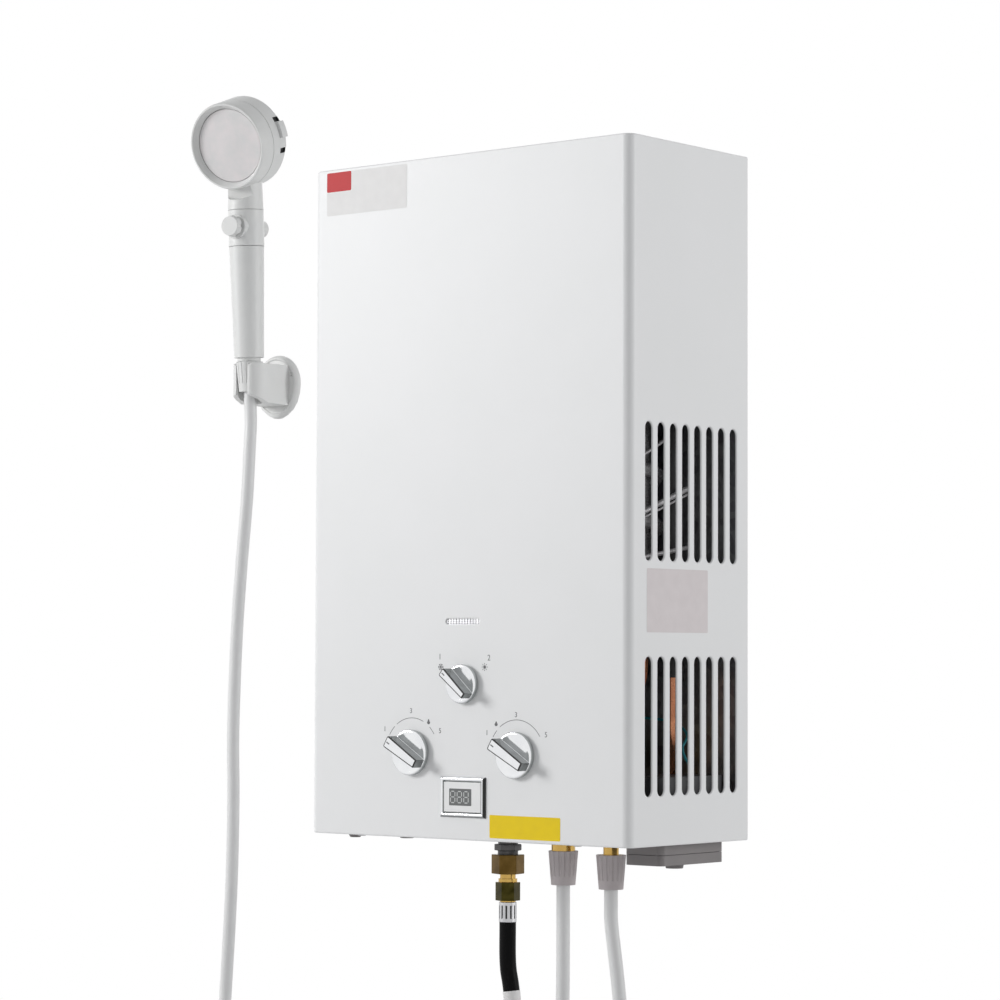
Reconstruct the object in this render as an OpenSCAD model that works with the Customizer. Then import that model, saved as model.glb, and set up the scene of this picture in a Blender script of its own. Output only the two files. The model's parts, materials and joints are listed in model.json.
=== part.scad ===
// Portable gas water heater for a wall, with its hand shower on a wall holder.
// Millimetres. X runs across the front, -Y is the front, the wall is the plane y = 0,
// and z = 0 is the bottom edge of the casing.

/* [Casing] */
// Width of the casing across the front
case_w = 355; // [340:1:380]
// Depth of the casing from the wall to the front face
case_d = 168; // [162:1:190]
// Height of the casing
case_h = 590; // [570:1:640]
// Thickness of the cover and deck sheet
sheet = 0.8; // [0.6:0.1:1.2]
// Outside radius of the two upright bends of the cover
bend_r = 8; // [4:1:12]
// Width of the inward lips along the top and bottom of the cover
lip_w = 10; // [6:1:12]
// Thickness of the rear pan
pan_t = 1.2; // [0.8:0.1:2]
// Depth of the rear pan's flanges
pan_d = 15; // [10:1:18]

/* [Wall tabs] */
// Width of the two wall tabs
tab_w = 140; // [120:1:200]
// Height of the upper tab's holes above the casing
tab_rise = 12; // [9:1:20]
// Depth of the lower tab's holes below the casing
tab_drop = 4.8; // [4.2:0.2:6]
// Distance between the two holes of a tab
tab_hole_gap = 110; // [80:1:112]
// Radius of the wall screw holes
tab_hole_r = 3; // [2:0.1:3.2]

/* [Side slots] */
// Slots in each group
slot_n = 8; // [4:1:9]
// Distance from one slot to the next
slot_pitch = 17.25; // [14:0.25:18]
// Width of a slot
slot_w = 7.6; // [5:0.1:9]
// Length of a slot
slot_len = 115.5; // [80:0.5:120]
// Height of the lower group above the bottom edge
slot_low_z = 41.3; // [30:0.1:60]
// Height of the upper group above the bottom edge
slot_high_z = 236.4; // [220:0.1:260]
// Distance of the rearmost slot's centre from the wall
slot_rear = 20.9; // [18.5:0.1:24]

/* [Front panel] */
// Distance of the gas and water knobs from the middle
knob_x = 58.3; // [52:0.1:66]
// Height of the gas and water knobs
knob_z = 73.5; // [68:0.1:80]
// Diameter of the gas and water knobs
knob_dia = 39.5; // [34:0.5:44]
// Height of the season knob
season_z = 133; // [128:1:140]
// Diameter of the season knob
season_dia = 33.5; // [28:0.5:38]
// Thickness of a knob's disc
knob_t = 5; // [4:0.1:7]
// Height of a knob's grip above its disc
grip_h = 10.5; // [6:0.1:12]
// Pointer angle of the gas and water knobs, from the level line
knob_angle = 150; // [140:1:160]
// Pointer angle of the season knob, from the level line
season_angle = 140; // [130:1:150]
// Radius of a knob's spindle
spindle_r = 4; // [3:0.1:5]
// Height of the middle of the sight slot
sight_z = 186.5; // [180:0.5:200]
// Length of the sight slot
sight_len = 38; // [36:1:44]
// Height of the sight slot
sight_h = 5.2; // [4.8:0.1:7]
// Distance of the sight slot's middle from the casing's middle
sight_x = -1.7; // [-4:0.1:4]
// Width of the display's frame
disp_w = 50.5; // [44:0.5:56]
// Height of the display's frame
disp_h = 34.8; // [30:0.2:40]
// Height of the display's middle
disp_z = 36.6; // [30:0.2:38]
// How far the display's frame stands out of the cover
disp_t = 2.6; // [2:0.1:4]

/* [Burner and heat exchanger] */
// Room between the combustion chamber and each side of the casing
chamber_side = 77.5; // [75.5:0.5:84]
// Room between the wall and the combustion chamber
chamber_back = 28; // [27:1:31]
// Room between the combustion chamber and the front face
chamber_front = 30; // [28:1:34]
// Height of the combustion chamber
chamber_h = 214; // [200:1:230]
// Height of the fin block
fin_h = 55; // [50:1:65]
// Fins in the block
fin_n = 22; // [12:1:26]
// Thickness of a fin
fin_t = 0.6; // [0.4:0.1:1]
// Radius of the water tubes through the fins
water_tube_r = 8; // [6:0.5:9]
// Radius of the copper pipes
pipe_r = 6; // [5:0.25:7]
// Burner bars side by side
bar_n = 8; // [5:1:8]
// Width of a burner bar
bar_w = 12; // [8:1:14]
// Height of the burner bars' tops
bar_top = 182; // [178:1:186]
// Height of the bars' flame boxes
bar_box_h = 32; // [24:1:36]

/* [Connections] */
// Distance of the pipe connections from the wall
port_y = 60; // [56:1:64]
// Place of the gas connection across the casing
gas_x = -39; // [-42:0.5:-36]
// Place of the hot water connection across the casing
hot_x = 23.5; // [21:0.5:25]
// Place of the cold water connection across the casing
cold_x = 76; // [74:0.5:79]
// Radius of the water connections' threads
thread_r = 10.45; // [9:0.05:11]
// Length of a cone nut
cone_len = 29.5; // [26:0.5:34]
// Radius of a cone nut at its wide end
cone_wide_r = 13; // [12.2:0.1:13.4]
// Radius of a cone nut at its narrow end
cone_narrow_r = 10.7; // [9.5:0.1:11]
// How far the cone nuts' wide ends lie below the casing
cone_drop = 12.7; // [11:0.1:16]
// Width across the flats of the gas union nut
union_af = 25.4; // [23:0.1:27]
// Length of the gas union nut
union_len = 17; // [14:0.5:20]
// Width across the flats of the gas hose's own nut
tail_af = 19; // [17:0.1:20]
// Length of the crimped sleeve on the gas hose
sleeve_len = 17.6; // [14:0.1:22]

/* [Battery box] */
// Width of the battery box
batt_w = 40; // [36:0.5:40]
// Length of the battery box, front to back
batt_len = 90; // [76:1:92]
// Distance of the box's right side from the casing's right side
batt_side = 11.5; // [11:0.5:13]
// Distance of the box's rear end from the wall
batt_rear = 18; // [18:0.5:24]
// Height of the battery lid
lid_h = 9; // [7:0.5:11]
// How far the lid's underside lies below the casing
batt_drop = 18; // [16:0.5:20]
// Height of the box above the casing's bottom edge
batt_rise = 56; // [54:1:60]
// Radius of a battery cell
cell_r = 16.3; // [14:0.1:16.5]
// Length of a battery cell
cell_len = 61; // [50:1:61.5]

/* [Shower holder] */
// Distance of the holder from the casing's middle
holder_x = 378; // [360:1:420]
// Height of the seat's lower end
seat_z = 411; // [380:1:440]
// Distance of the seat's axis from the wall
seat_y = 41; // [38:1:46]
// Width of the holder's wall plate
plate_w = 57.5; // [52:0.5:64]
// Thickness of the holder's wall plate
plate_t = 9; // [7:0.5:10]
// Distance between the holder's two screw holes
holder_hole_gap = 42.4; // [38:0.2:43]
// Radius of the holder's screw holes
holder_hole_r = 2.2; // [1.5:0.1:2.4]

/* [Hand shower] */
// Forward lean of the hand shower in its holder
lean = 3; // [0:0.5:4]
// Turn of the hand shower about its own axis
turn = 9; // [0:1:12]
// Length of the grip
grip_len = 107; // [90:1:130]
// Radius of the grip at its lower end
grip_low_r = 14.3; // [13:0.1:15.5]
// Radius of the grip at its upper end
grip_top_r = 16.9; // [16.5:0.1:18]
// Length of the stop valve section
valve_len = 35; // [33:0.5:40]
// Radius of the spray head at its rim
head_r = 41.8; // [36:0.2:46]
// Depth of the spray head
head_t = 44; // [42:1:48]
// Downward tilt of the spray face against the grip
head_tilt = 14; // [8:1:18]
// Distance of the spray face's middle in front of the grip's axis
head_reach = 30; // [28:0.5:34]
// Height of the spray face's middle above the neck's seam
head_rise = 59.2; // [56:0.2:62]

/* [Hoses] */
// Diameter of the shower and inlet hoses
water_hose_d = 12; // [11:0.5:13]
// Diameter of the gas hose
gas_hose_d = 14.8; // [12:0.2:15]
// Turns in each coil
coil_turns = 3; // [2:1:3]
// Diameter of the gas hose's coil at the middle of its turns
gas_coil_dia = 140; // [120:2:142]
// Diameter of the inlet hose's coil at the middle of its turns
inlet_coil_dia = 126; // [110:2:130]
// Height of the coils' middles below the casing
coil_drop = 240; // [236:1:250]

/* [Fits] */
// Gap between neighbouring pieces
gap = 0.3; // [0.2:0.05:0.4]
// Running clearance of a shaft in its bore, on the radius
run = 0.05; // [0.02:0.01:0.1]

/* [Hidden] */

hex_turn = 39; // all the hexagons are tightened to this angle
eps = 0.5; // overshoot of a cut past the face it opens
round_fn = 48;

// Derived places of the casing
inner_w = case_w / 2 - sheet - gap; // half width of what stands inside the cover
deck_z = sheet + gap; // underside of the bottom deck
roof_z = case_h - sheet - gap; // upper face of the top deck
deck_rear = -pan_d - gap;
front_in = -case_d + sheet; // inner side of the front panel

// Derived places of the burner and the heat exchanger
chamber_w = case_w - 2 * chamber_side; // inside width of the combustion chamber
chamber_d = case_d - chamber_back - chamber_front; // inside depth of the combustion chamber
chamber_y = chamber_back + chamber_d / 2; // its middle
bar_foot = bar_top - bar_box_h;
frame_t = 1.2;
bar_pitch = (chamber_w - 24) / bar_n; // from one burner bar to the next
frame_w = (bar_n - 1) * bar_pitch / 2 + bar_w / 2 + 2;
bar_len = chamber_d - 16;
frame_top = bar_top + 4;
chamber_z = frame_top + gap;
chamber_top = chamber_z + chamber_h;
fin_z = chamber_top + gap;
fin_top = fin_z + fin_h;
hood_z = fin_top + gap;
tube_z = fin_z + fin_h / 2;
tube_gap = 27; // from one water tube to the next
tube_end = chamber_w / 2 + 4;
chamber_t = 1;
coil_gap = 1.2; // between the copper coil and the chamber
coil_x = chamber_w / 2 + chamber_t + coil_gap + pipe_r; // the copper coil's half width
coil_y = chamber_d / 2 + chamber_t + coil_gap + pipe_r; // its half depth
coil_low = 225; // height at which the copper coil starts to wind
coil_rise = 45; // its climb in one turn
chamber_corner = 16;
coil_corner = chamber_corner + chamber_t + coil_gap + pipe_r;
manifold_y = chamber_y + bar_len / 2 + 2 + frame_t + gap + 6;
manifold_w = 12;
burner_z = season_z; // the bars' mouths and the manifold lie on one level

// Derived places of the valves
body_half = 24; // half depth of both valve bodies
valve_front = -port_y - body_half;
gas_low = 34;
gas_high = 98;
rod_z = 64;
rod_r = 2.5;
rod_travel = 3;
water_left = 42;
house_r = 27; // diaphragm housing
house_left = 8;
gas_right = gas_x + 15;
arm_x = -8.8;
arm_pivot_z = 86;

// Derived places of the connections
flange_z = -9.3; // top of the adapter's hexagon
flange_h = 5.6;
union_z = -18.4; // top of the union nut
tail_z = union_z - union_len;
hex_z = tail_z - 7.4; // top of the hose's own hexagon
hex_h = 16.2;
sleeve_z = hex_z - hex_h - 1.2; // top of the crimped sleeve
sleeve_r = 7.9;
hose_z = sleeve_z - sleeve_len; // where the gas hose shows
cone_z = -cone_drop - cone_len; // lower end of the hot cone nut
cold_extra = 1.4; // the cold nut sits this much lower
cold_end = cone_z - cold_extra;
cold_thread_z = -cone_drop - cold_extra; // upper end of the cold thread
stub_in = 14; // how far a thread goes into its nut

// Derived places of the battery box
batt_x1 = case_w / 2 - batt_side;
batt_x0 = batt_x1 - batt_w;
batt_y1 = -batt_rear;
batt_y0 = batt_y1 - batt_len;
batt_mid_x = (batt_x0 + batt_x1) / 2;
batt_mid_y = (batt_y0 + batt_y1) / 2;
seam_z = -batt_drop + lid_h;
batt_wall = 1.6;
hinge_r = 3; // radius of the lid's hinge barrel
pin_r = 1.2;

// Derived sizes of the hand shower, along its own axis from the seat's lower end
nut_len = 28.8;
collar_len = 4;
grip_z = nut_len + collar_len;
valve_z = grip_z + grip_len;
neck_z = valve_z + valve_len;
face_z = neck_z + head_rise;
valve_r = grip_top_r + 0.3;
button_z = valve_z + valve_len / 2 + 1;
button_travel = 3;
button_r = 6;
boss_y = valve_r + 1.6; // how far the valve's boss reaches forward
head_big_r = head_r + 1.6;
plate_depth = 6; // how far the spray plate lies behind the rim
plate_r = head_r - 6.5;

// Routes of the free hoses
// Direction of the hand shower's grip
hand_axis = [sin(lean) * sin(turn), -sin(lean) * cos(turn), cos(lean)];
seat = [-holder_x, -seat_y, seat_z];
shower_route = [[-377.5, -40, 380], [-378, -41, 354], [-381, -41, 306], [-388, -41, 240], [-393.5, -41, 172],
    [-397, -41, 83], [-396, -41, 17], [-398, -41, -70], [-404, -42, -174], [-407, -44, -240], [-400, -47, -300],
    [-378, -50, -354], [-342, -53, -400], [-296, -56, -432], [-242, -59, -450], [-188, -61, -452],
    [-134, -62, -438], [-86, -62, -408], [-46, -62, -364], [-14, -61, -310], [8, -60, -254],
    [20, -60, -200], [23, -60, -150], [23.5, -60, -100]];
gas_route = [[-39, -60, -106], [-38, -60, -120], [-35.5, -60, -132], [-33.5, -60, -146],
    [-32, -60, -168], [-32, -60, -196]];
inlet_route = [[76, -60, -66], [77, -60, -78], [80, -60, -98], [84, -60, -126],
    [87, -60, -154], [88, -60, -182]];

// ---------- shared shapes ----------

// Plan outline of the casing, drawn in by an inset, and run on past the wall by rear
module case_outline(inset, rear = 0) {
    w = case_w / 2 - inset;
    r = bend_r - inset;
    front = inset - case_d;
    translate([-w, front + r]) square([2 * w, case_d - inset - r + rear]);
    translate([r - w, front]) square([2 * (w - r), 2 * r]);
    for (s = [-1, 1]) translate([s * (w - r), front + r]) circle(r, $fn = round_fn);
}

// Box given by its two corners
module block(a, b) translate(a) cube(b - a);

// Cylinder along -Y that starts at a point
module forward(p, r, len, fn = round_fn) translate(p) rotate([90, 0, 0]) cylinder(h = len, r = r, $fn = fn);

// Cylinder along +X that starts at a point
module across(p, r, len) translate(p) rotate([0, 90, 0]) cylinder(h = len, r = r, $fn = round_fn);

// Upright cylinder or cone given by the heights of its ends
module upright(x, y, z0, z1, r0, r1)
    translate([x, y, z0]) cylinder(h = z1 - z0, r1 = r0, r2 = r1, $fn = round_fn);

// Upright hexagon of a width across its flats
module hexagon(x, y, z0, z1, af)
    translate([x, y, z0]) rotate([0, 0, hex_turn]) cylinder(h = z1 - z0, r = af / sqrt(3), $fn = 6);

// Slot with round ends, standing in the plane of X and Z, cut along Y
module round_slot(len, h, depth) rotate([90, 0, 0]) linear_extrude(depth) {
    square([len - h, h], center = true);
    for (s = [-1, 1]) translate([s * (len - h) / 2, 0]) circle(h / 2, $fn = 32);
}

function unit(v) = v / norm(v);
function spline_point(a, b, c, d, t) = 0.5 * (2 * b + (c - a) * t + (2 * a - 5 * b + 4 * c - d) * t * t
    + (3 * b - a - 3 * c + d) * t * t * t);
// Points of a smooth curve through the given points, steps per stretch
function smooth(p, steps) = let (n = len(p), q = concat([2 * p[0] - p[1]], p, [2 * p[n - 1] - p[n - 2]]))
    concat([for (i = [0 : n - 2], s = [0 : steps - 1])
        spline_point(q[i], q[i + 1], q[i + 2], q[i + 3], s / steps)], [p[n - 1]]);
function tangent(p, i) = i == 0 ? unit(p[1] - p[0])
    : i == len(p) - 1 ? unit(p[i] - p[i - 1]) : unit(unit(p[i + 1] - p[i]) + unit(p[i] - p[i - 1]));
// Directions across the curve, carried along it without twist
function carry(p, i = 0, u = undef) = i == len(p) ? [] :
    let (t = tangent(p, i), guess = is_undef(u) ? (abs(t[1]) < 0.9 ? [0, 1, 0] : [1, 0, 0]) : u,
        v = unit(guess - (guess * t) * t)) concat([v], carry(p, i + 1, v));
function route_len(p, i = 0) = i >= len(p) - 1 ? 0 : norm(p[i + 1] - p[i]) + route_len(p, i + 1);

// Tube of a radius swept along points, closed at both ends
module tube(p, r, sides) {
    n = len(p);
    u = carry(p);
    rings = [for (i = [0 : n - 1]) let (t = tangent(p, i), v = cross(t, u[i]))
        for (k = [0 : sides - 1]) p[i] + r * (cos(360 * k / sides) * u[i] + sin(360 * k / sides) * v)];
    walls = [for (i = [0 : n - 2], k = [0 : sides - 1]) let (a = i * sides + k, b = i * sides + (k + 1) % sides)
        each [[a, a + sides, b + sides], [a, b + sides, b]]];
    ends = [for (k = [1 : sides - 2]) each [[0, k, k + 1],
        [(n - 1) * sides, (n - 1) * sides + k + 1, (n - 1) * sides + k]]];
    polyhedron(points = rings, faces = concat(walls, ends), convexity = 8);
}

// Points of an upright coil that starts at its side going down and steps forward turn by turn
function coil_points(start, dia, side, pitch, tail) = let (n = 24 * coil_turns) concat([start + [0, 0, 14]],
    [for (i = [0 : n]) start + [side * dia / 2 * (1 - cos(15 * i)), -pitch * i / 24, -dia / 2 * sin(15 * i)]],
    [for (d = [tail / 3, tail * 2 / 3, tail]) start + [0, -pitch * coil_turns, -d]]);
// Least gap between points of a coil half a turn or more apart
function least_gap(p, d) = min([for (i = [0 : len(p) - 14], j = [i + 13 : len(p) - 1]) norm(p[i] - p[j])]) - d;
coil_step = 1; // gap between neighbouring turns
gas_coil_start = [gas_route[5][0], gas_route[5][1], -coil_drop];
inlet_coil_start = [inlet_route[5][0], inlet_route[5][1], -coil_drop];
gas_coil = coil_points(gas_coil_start, gas_coil_dia, -1, gas_hose_d + coil_step, 60);
inlet_coil = coil_points(inlet_coil_start, inlet_coil_dia, 1, water_hose_d + coil_step, 60);
gas_free = concat([[gas_x, -port_y, hose_z], [gas_x, -port_y, hose_z - 8]], gas_route, [gas_coil[0]]);
inlet_free = concat([[cold_x, -port_y, cold_end], [cold_x, -port_y, cold_end - 6],
    [cold_x, -port_y, cold_end - 12]], inlet_route, [inlet_coil[0]]);
shower_free = concat([seat, seat - 6 * hand_axis, seat - 12 * hand_axis], shower_route,
    [[hot_x, -port_y, cone_z - 24], [hot_x, -port_y, cone_z - 12], [hot_x, -port_y, cone_z]]);
echo(least_gap_gas = least_gap(gas_coil, gas_hose_d), least_gap_inlet = least_gap(inlet_coil, water_hose_d));
echo(gas = route_len(gas_free) + route_len(gas_coil), inlet = route_len(inlet_free) + route_len(inlet_coil),
    shower = route_len(smooth(shower_free, 4)));
gas_end = gas_coil[len(gas_coil) - 1];
inlet_end = inlet_coil[len(inlet_coil) - 1];

// ---------- casing ----------

module wall_holes() for (x = [-1, 1], z = [case_h + tab_rise, -tab_drop])
    forward([x * tab_hole_gap / 2, eps, z], tab_hole_r, pan_t + 2 * eps);

module rear_pan() color("gainsboro") difference() {
    union() {
        difference() {
            block([-inner_w, -pan_d, deck_z], [inner_w, 0, roof_z]);
            block([-inner_w + pan_t, -pan_d - eps, deck_z + pan_t], [inner_w - pan_t, -pan_t, roof_z - pan_t]);
        }
        block([-tab_w / 2, -pan_t, -2 * tab_drop], [tab_w / 2, 0, case_h + 2 * tab_rise]);
    }
    wall_holes();
}

module side_slots() for (z = [slot_low_z, slot_high_z], i = [0 : slot_n - 1])
    translate([-case_w / 2 - eps, -slot_rear - i * slot_pitch, z + slot_len / 2]) rotate([0, 90, 0])
        linear_extrude(case_w + 2 * eps) {
            square([slot_len - slot_w, slot_w], center = true);
            for (s = [-1, 1]) translate([s * (slot_len - slot_w) / 2, 0]) circle(slot_w / 2, $fn = 32);
        }

module lip(z) translate([0, 0, z]) linear_extrude(sheet) difference() {
    case_outline(0);
    translate([lip_w - case_w / 2, lip_w - case_d]) square([case_w - 2 * lip_w, case_d]);
}

hub_r = 8;
season_hub_r = 6.5;
module front_openings() {
    for (s = [-1, 1]) forward([s * knob_x, front_in + eps, knob_z], hub_r + 1, sheet + 2 * eps);
    forward([0, front_in + eps, season_z], season_hub_r + 1, sheet + 2 * eps);
    translate([sight_x, front_in + eps, sight_z]) round_slot(sight_len, sight_h, sheet + 2 * eps);
    block([-disp_w / 2 + 3, -case_d - eps, disp_z - disp_h / 2 + 3],
        [disp_w / 2 - 3, front_in + eps, disp_z + disp_h / 2 - 3]);
}

screw_x = 120;
screw_y = case_d - lip_w / 2;
screw_r = 2;
module screw_holes() for (s = [-1, 1])
    upright(s * screw_x, -screw_y, -1, case_h + 1, screw_r + gap, screw_r + gap);

module front_cover() color("whitesmoke") difference() {
    union() {
        difference() {
            linear_extrude(case_h) case_outline(0);
            translate([0, 0, -1]) linear_extrude(case_h + 2) case_outline(sheet, 1);
        }
        lip(0);
        lip(case_h - sheet);
    }
    side_slots();
    front_openings();
    screw_holes();
}

// Flat deck inside the cover, with a rim that stands up or hangs down by rim
module deck(z, rim) {
    translate([0, 0, z]) linear_extrude(sheet) intersection() {
        case_outline(sheet + gap);
        translate([-case_w, -case_d]) square([2 * case_w, case_d + deck_rear]);
    }
    translate([0, 0, rim > 0 ? z : z + sheet + rim]) linear_extrude(abs(rim)) difference() {
        intersection() {
            case_outline(sheet + gap);
            translate([-case_w, -case_d]) square([2 * case_w, case_d + deck_rear]);
        }
        case_outline(2 * sheet + gap, 1);
    }
}

module top_deck() color("gainsboro") difference() {
    deck(roof_z - sheet, -11);
    for (i = [-6 : 6], row = [0, 1]) translate([i * 12, -chamber_y - 18 + row * 36, roof_z - sheet - eps])
        linear_extrude(sheet + 2 * eps) {
            square([5, 22], center = true);
            for (s = [-1, 1]) translate([0, s * 11]) circle(2.5, $fn = 24);
        }
    screw_holes();
}

plug_y = case_d - 26;
plug_x = [30.5 - case_w / 2, 91.5 - case_w / 2];
plug_r = 5;
neck_r = 8.7; // gas adapter's neck
cold_neck_r = 6.75;
module bottom_deck() color("gainsboro") difference() {
    deck(deck_z, 11);
    upright(gas_x, -port_y, 0, 5, neck_r + gap, neck_r + gap);
    upright(hot_x, -port_y, 0, 5, thread_r + gap, thread_r + gap);
    upright(cold_x, -port_y, 0, 5, cold_neck_r + gap, cold_neck_r + gap);
    block([batt_x0 - gap, batt_y0 - gap, 0], [batt_x1 + gap, batt_y1 + gap, 5]);
    for (x = plug_x) upright(x, -plug_y, 0, 5, plug_r + gap, plug_r + gap);
    screw_holes();
}

module case_screws() color("silver") for (x = [-screw_x, screw_x]) {
    upright(x, -screw_y, case_h, case_h + 0.8, 3.6, 3.2);
    upright(x, -screw_y, case_h - 6, case_h, screw_r, screw_r);
    upright(x, -screw_y, -0.8, 0, 3.2, 3.6);
    upright(x, -screw_y, 0, 6, screw_r, screw_r);
}

module blanking_plugs() color("gray") for (i = [0, 1]) {
    upright(plug_x[i], -plug_y, deck_z - 5 + i * 1.5, deck_z - gap, 4.5 + i * 1.5, 7.4);
    upright(plug_x[i], -plug_y, deck_z - gap, deck_z + sheet + 3, plug_r, plug_r);
}

module sight_screen() color("silver") translate([sight_x, 0, sight_z]) difference() {
    block([-sight_len / 2 - 4, front_in + gap, -sight_h / 2 - 3],
        [sight_len / 2 + 4, front_in + gap + sheet, sight_h / 2 + 3]);
    for (i = [-5.5 : 5.5], k = [-1, 0, 1])
        forward([i * 3.1, front_in + gap + sheet + eps, k * 1.7], 0.6, sheet + 2 * eps, 16);
}

// ---------- burner and heat exchanger ----------

function bar_x(i) = (i - (bar_n - 1) / 2) * bar_pitch;
module burner_bars() color("silver") for (i = [0 : bar_n - 1]) translate([bar_x(i), -chamber_y, 0]) {
    difference() {
        block([-bar_w / 2, -bar_len / 2, bar_foot], [bar_w / 2, bar_len / 2, bar_top]);
        for (k = [-3 : 3])
            block([2 - bar_w / 2, k * 12 - 1, bar_top - 3], [bar_w / 2 - 2, k * 12 + 1, bar_top + eps]);
    }
    difference() {
        union() {
            forward([0, bar_len / 2 - 14, burner_z], 5.5, bar_len - 14);
            block([-2, -bar_len / 2 + 6, burner_z], [2, bar_len / 2 - 16, bar_foot]);
        }
        forward([0, -bar_len / 2 + 12, burner_z], 4, 13);
    }
}

rail_y = [-30, bar_len / 2 - 11];
rail_top = burner_z - 5.5 - gap; // the bars' mixing tubes rest here
module burner_frame() color("lightgray") {
    difference() {
        block([-frame_w - frame_t, -chamber_y - bar_len / 2 - 2 - frame_t, rail_top - 6],
            [frame_w + frame_t, -chamber_y + bar_len / 2 + 2 + frame_t, frame_top]);
        block([-frame_w, -chamber_y - bar_len / 2 - 2, rail_top - 6 - eps],
            [frame_w, -chamber_y + bar_len / 2 + 2, frame_top + eps]);
        block([-frame_w, -chamber_y - bar_len, rail_top - 6 - eps],
            [frame_w, -chamber_y + bar_len, bar_foot - 4]);
        for (y = [[-bar_len, rail_y[0] - 5], [rail_y[0] + 5, rail_y[1] - 5], [rail_y[1] + 5, bar_len]])
            block([-chamber_w / 2, -chamber_y + y[0], rail_top - 6 - eps],
                [chamber_w / 2, -chamber_y + y[1], bar_foot - 4]);
        for (x = electrode_x) forward([x, -chamber_y, frame_top - 8], 1 + gap, bar_len);
    }
    for (y = rail_y) block([-frame_w - frame_t / 2, -chamber_y + y - 4, rail_top - 4],
        [frame_w + frame_t / 2, -chamber_y + y + 4, rail_top]);
    for (s = [-1, 1]) block([s > 0 ? frame_w : -chamber_w / 2 - chamber_t, -chamber_y - 10, frame_top - 2],
        [s > 0 ? chamber_w / 2 + chamber_t : -frame_w, -chamber_y + 10, frame_top]);
    for (x = [-60, 60]) block([x - 8, -chamber_y + bar_len / 2 + 2, frame_top - 14],
        [x + 8, -pan_t - gap, frame_top - 12]);
}

// Plan of the combustion chamber with its round corners, grown by an amount
module chamber_plan(grow) {
    w = chamber_w / 2 + grow;
    d = chamber_d / 2 + grow;
    r = chamber_corner + grow;
    translate([0, -chamber_y]) {
        square([2 * w, 2 * (d - r)], center = true);
        square([2 * (w - r), 2 * d], center = true);
        for (sx = [-1, 1], sy = [-1, 1]) translate([sx * (w - r), sy * (d - r)]) circle(r, $fn = round_fn);
    }
}

module combustion_chamber() color("silver") translate([0, 0, chamber_z]) linear_extrude(chamber_h)
    difference() {
        chamber_plan(chamber_t);
        chamber_plan(0);
    }

module fin_block() color("peru") difference() {
    union() {
        for (i = [0 : fin_n - 1])
            translate([(i / (fin_n - 1) - 0.5) * (chamber_w - 8), -chamber_y, 0])
                block([-fin_t / 2, -chamber_d / 2 + 1, fin_z + 1], [fin_t / 2, chamber_d / 2 - 1, fin_top]);
        for (y = [-1, 1]) block([-chamber_w / 2, -chamber_y + y * (chamber_d / 2) - 1, fin_z],
            [chamber_w / 2, -chamber_y + y * (chamber_d / 2) + 1, fin_top]);
        for (x = [-1, 1]) block([x * chamber_w / 2 - 1, -chamber_y - chamber_d / 2 - 1, fin_z],
            [x * chamber_w / 2 + 1, -chamber_y + chamber_d / 2 + 1, fin_top]);
    }
    for (k = [-1, 0, 1])
        across([-chamber_w, -chamber_y + k * tube_gap, tube_z], water_tube_r + run, 2 * chamber_w);
}

module return_bend(x, y, side) translate([x, y, tube_z]) rotate([0, 0, side > 0 ? -90 : 90])
    rotate_extrude(angle = 180, $fn = round_fn) translate([tube_gap / 2, 0]) circle(water_tube_r, $fn = 32);

module exchanger_tubes() color("darkorange") {
    for (k = [-1, 0, 1]) across([-tube_end, -chamber_y + k * tube_gap, tube_z], water_tube_r, 2 * tube_end);
    return_bend(tube_end, -chamber_y - tube_gap / 2, 1);
    return_bend(-tube_end, -chamber_y + tube_gap / 2, -1);
}

// Copper coil round the chamber: corner arcs of a rounded rectangle that climbs as it goes round
function corner(k, i) = let (c = i % 4, sx = (c == 0 || c == 3) ? 1 : -1, sy = (c == 0 || c == 1) ? -1 : 1,
        a = -90 * c - 30 * k) [sx * (coil_x - coil_corner) + coil_corner * cos(a),
        -chamber_y + sy * (coil_y - coil_corner) + coil_corner * sin(a),
        coil_low + coil_rise * (4 * i + k + 2) / 16];
wind = [for (i = [0 : 9], k = [0 : 3]) corner(k, i)];
wind_end = wind[len(wind) - 1];
feed_y = -60;
feed_z = 205;
coil_route = concat([[coil_x, feed_y, feed_z], [coil_x, feed_y, feed_z + 8], [coil_x, feed_y - 5, feed_z + 16],
    [coil_x, feed_y - 18, feed_z + 22]], wind,
    [wind_end + [-4, 8, 12], [-coil_x - 10, -chamber_y - tube_gap, wind_end[2] + 34],
    [-coil_x - 10, -chamber_y - tube_gap, tube_z - 20], [-coil_x - 6, -chamber_y - tube_gap, tube_z - 5],
    [-tube_end - 6, -chamber_y - tube_gap, tube_z], [-tube_end, -chamber_y - tube_gap, tube_z]]);
module jacket_coil() color("darkorange") tube(coil_route, pipe_r, 10);

cold_top = 100; // top of the water valve's outlet
module cold_pipe() color("darkorange") tube(smooth([[cold_x, -port_y, cold_top],
    [cold_x, -port_y, cold_top + 5], [cold_x, -port_y, cold_top + 10],
    [cold_x + 10, -port_y, cold_top + 19], [coil_x - 5, feed_y, cold_top + 31],
    [coil_x, feed_y, cold_top + 46], [coil_x, feed_y, cold_top + 76], [coil_x, feed_y, feed_z - 8],
    [coil_x, feed_y, feed_z]], 3), pipe_r, 10);

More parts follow.
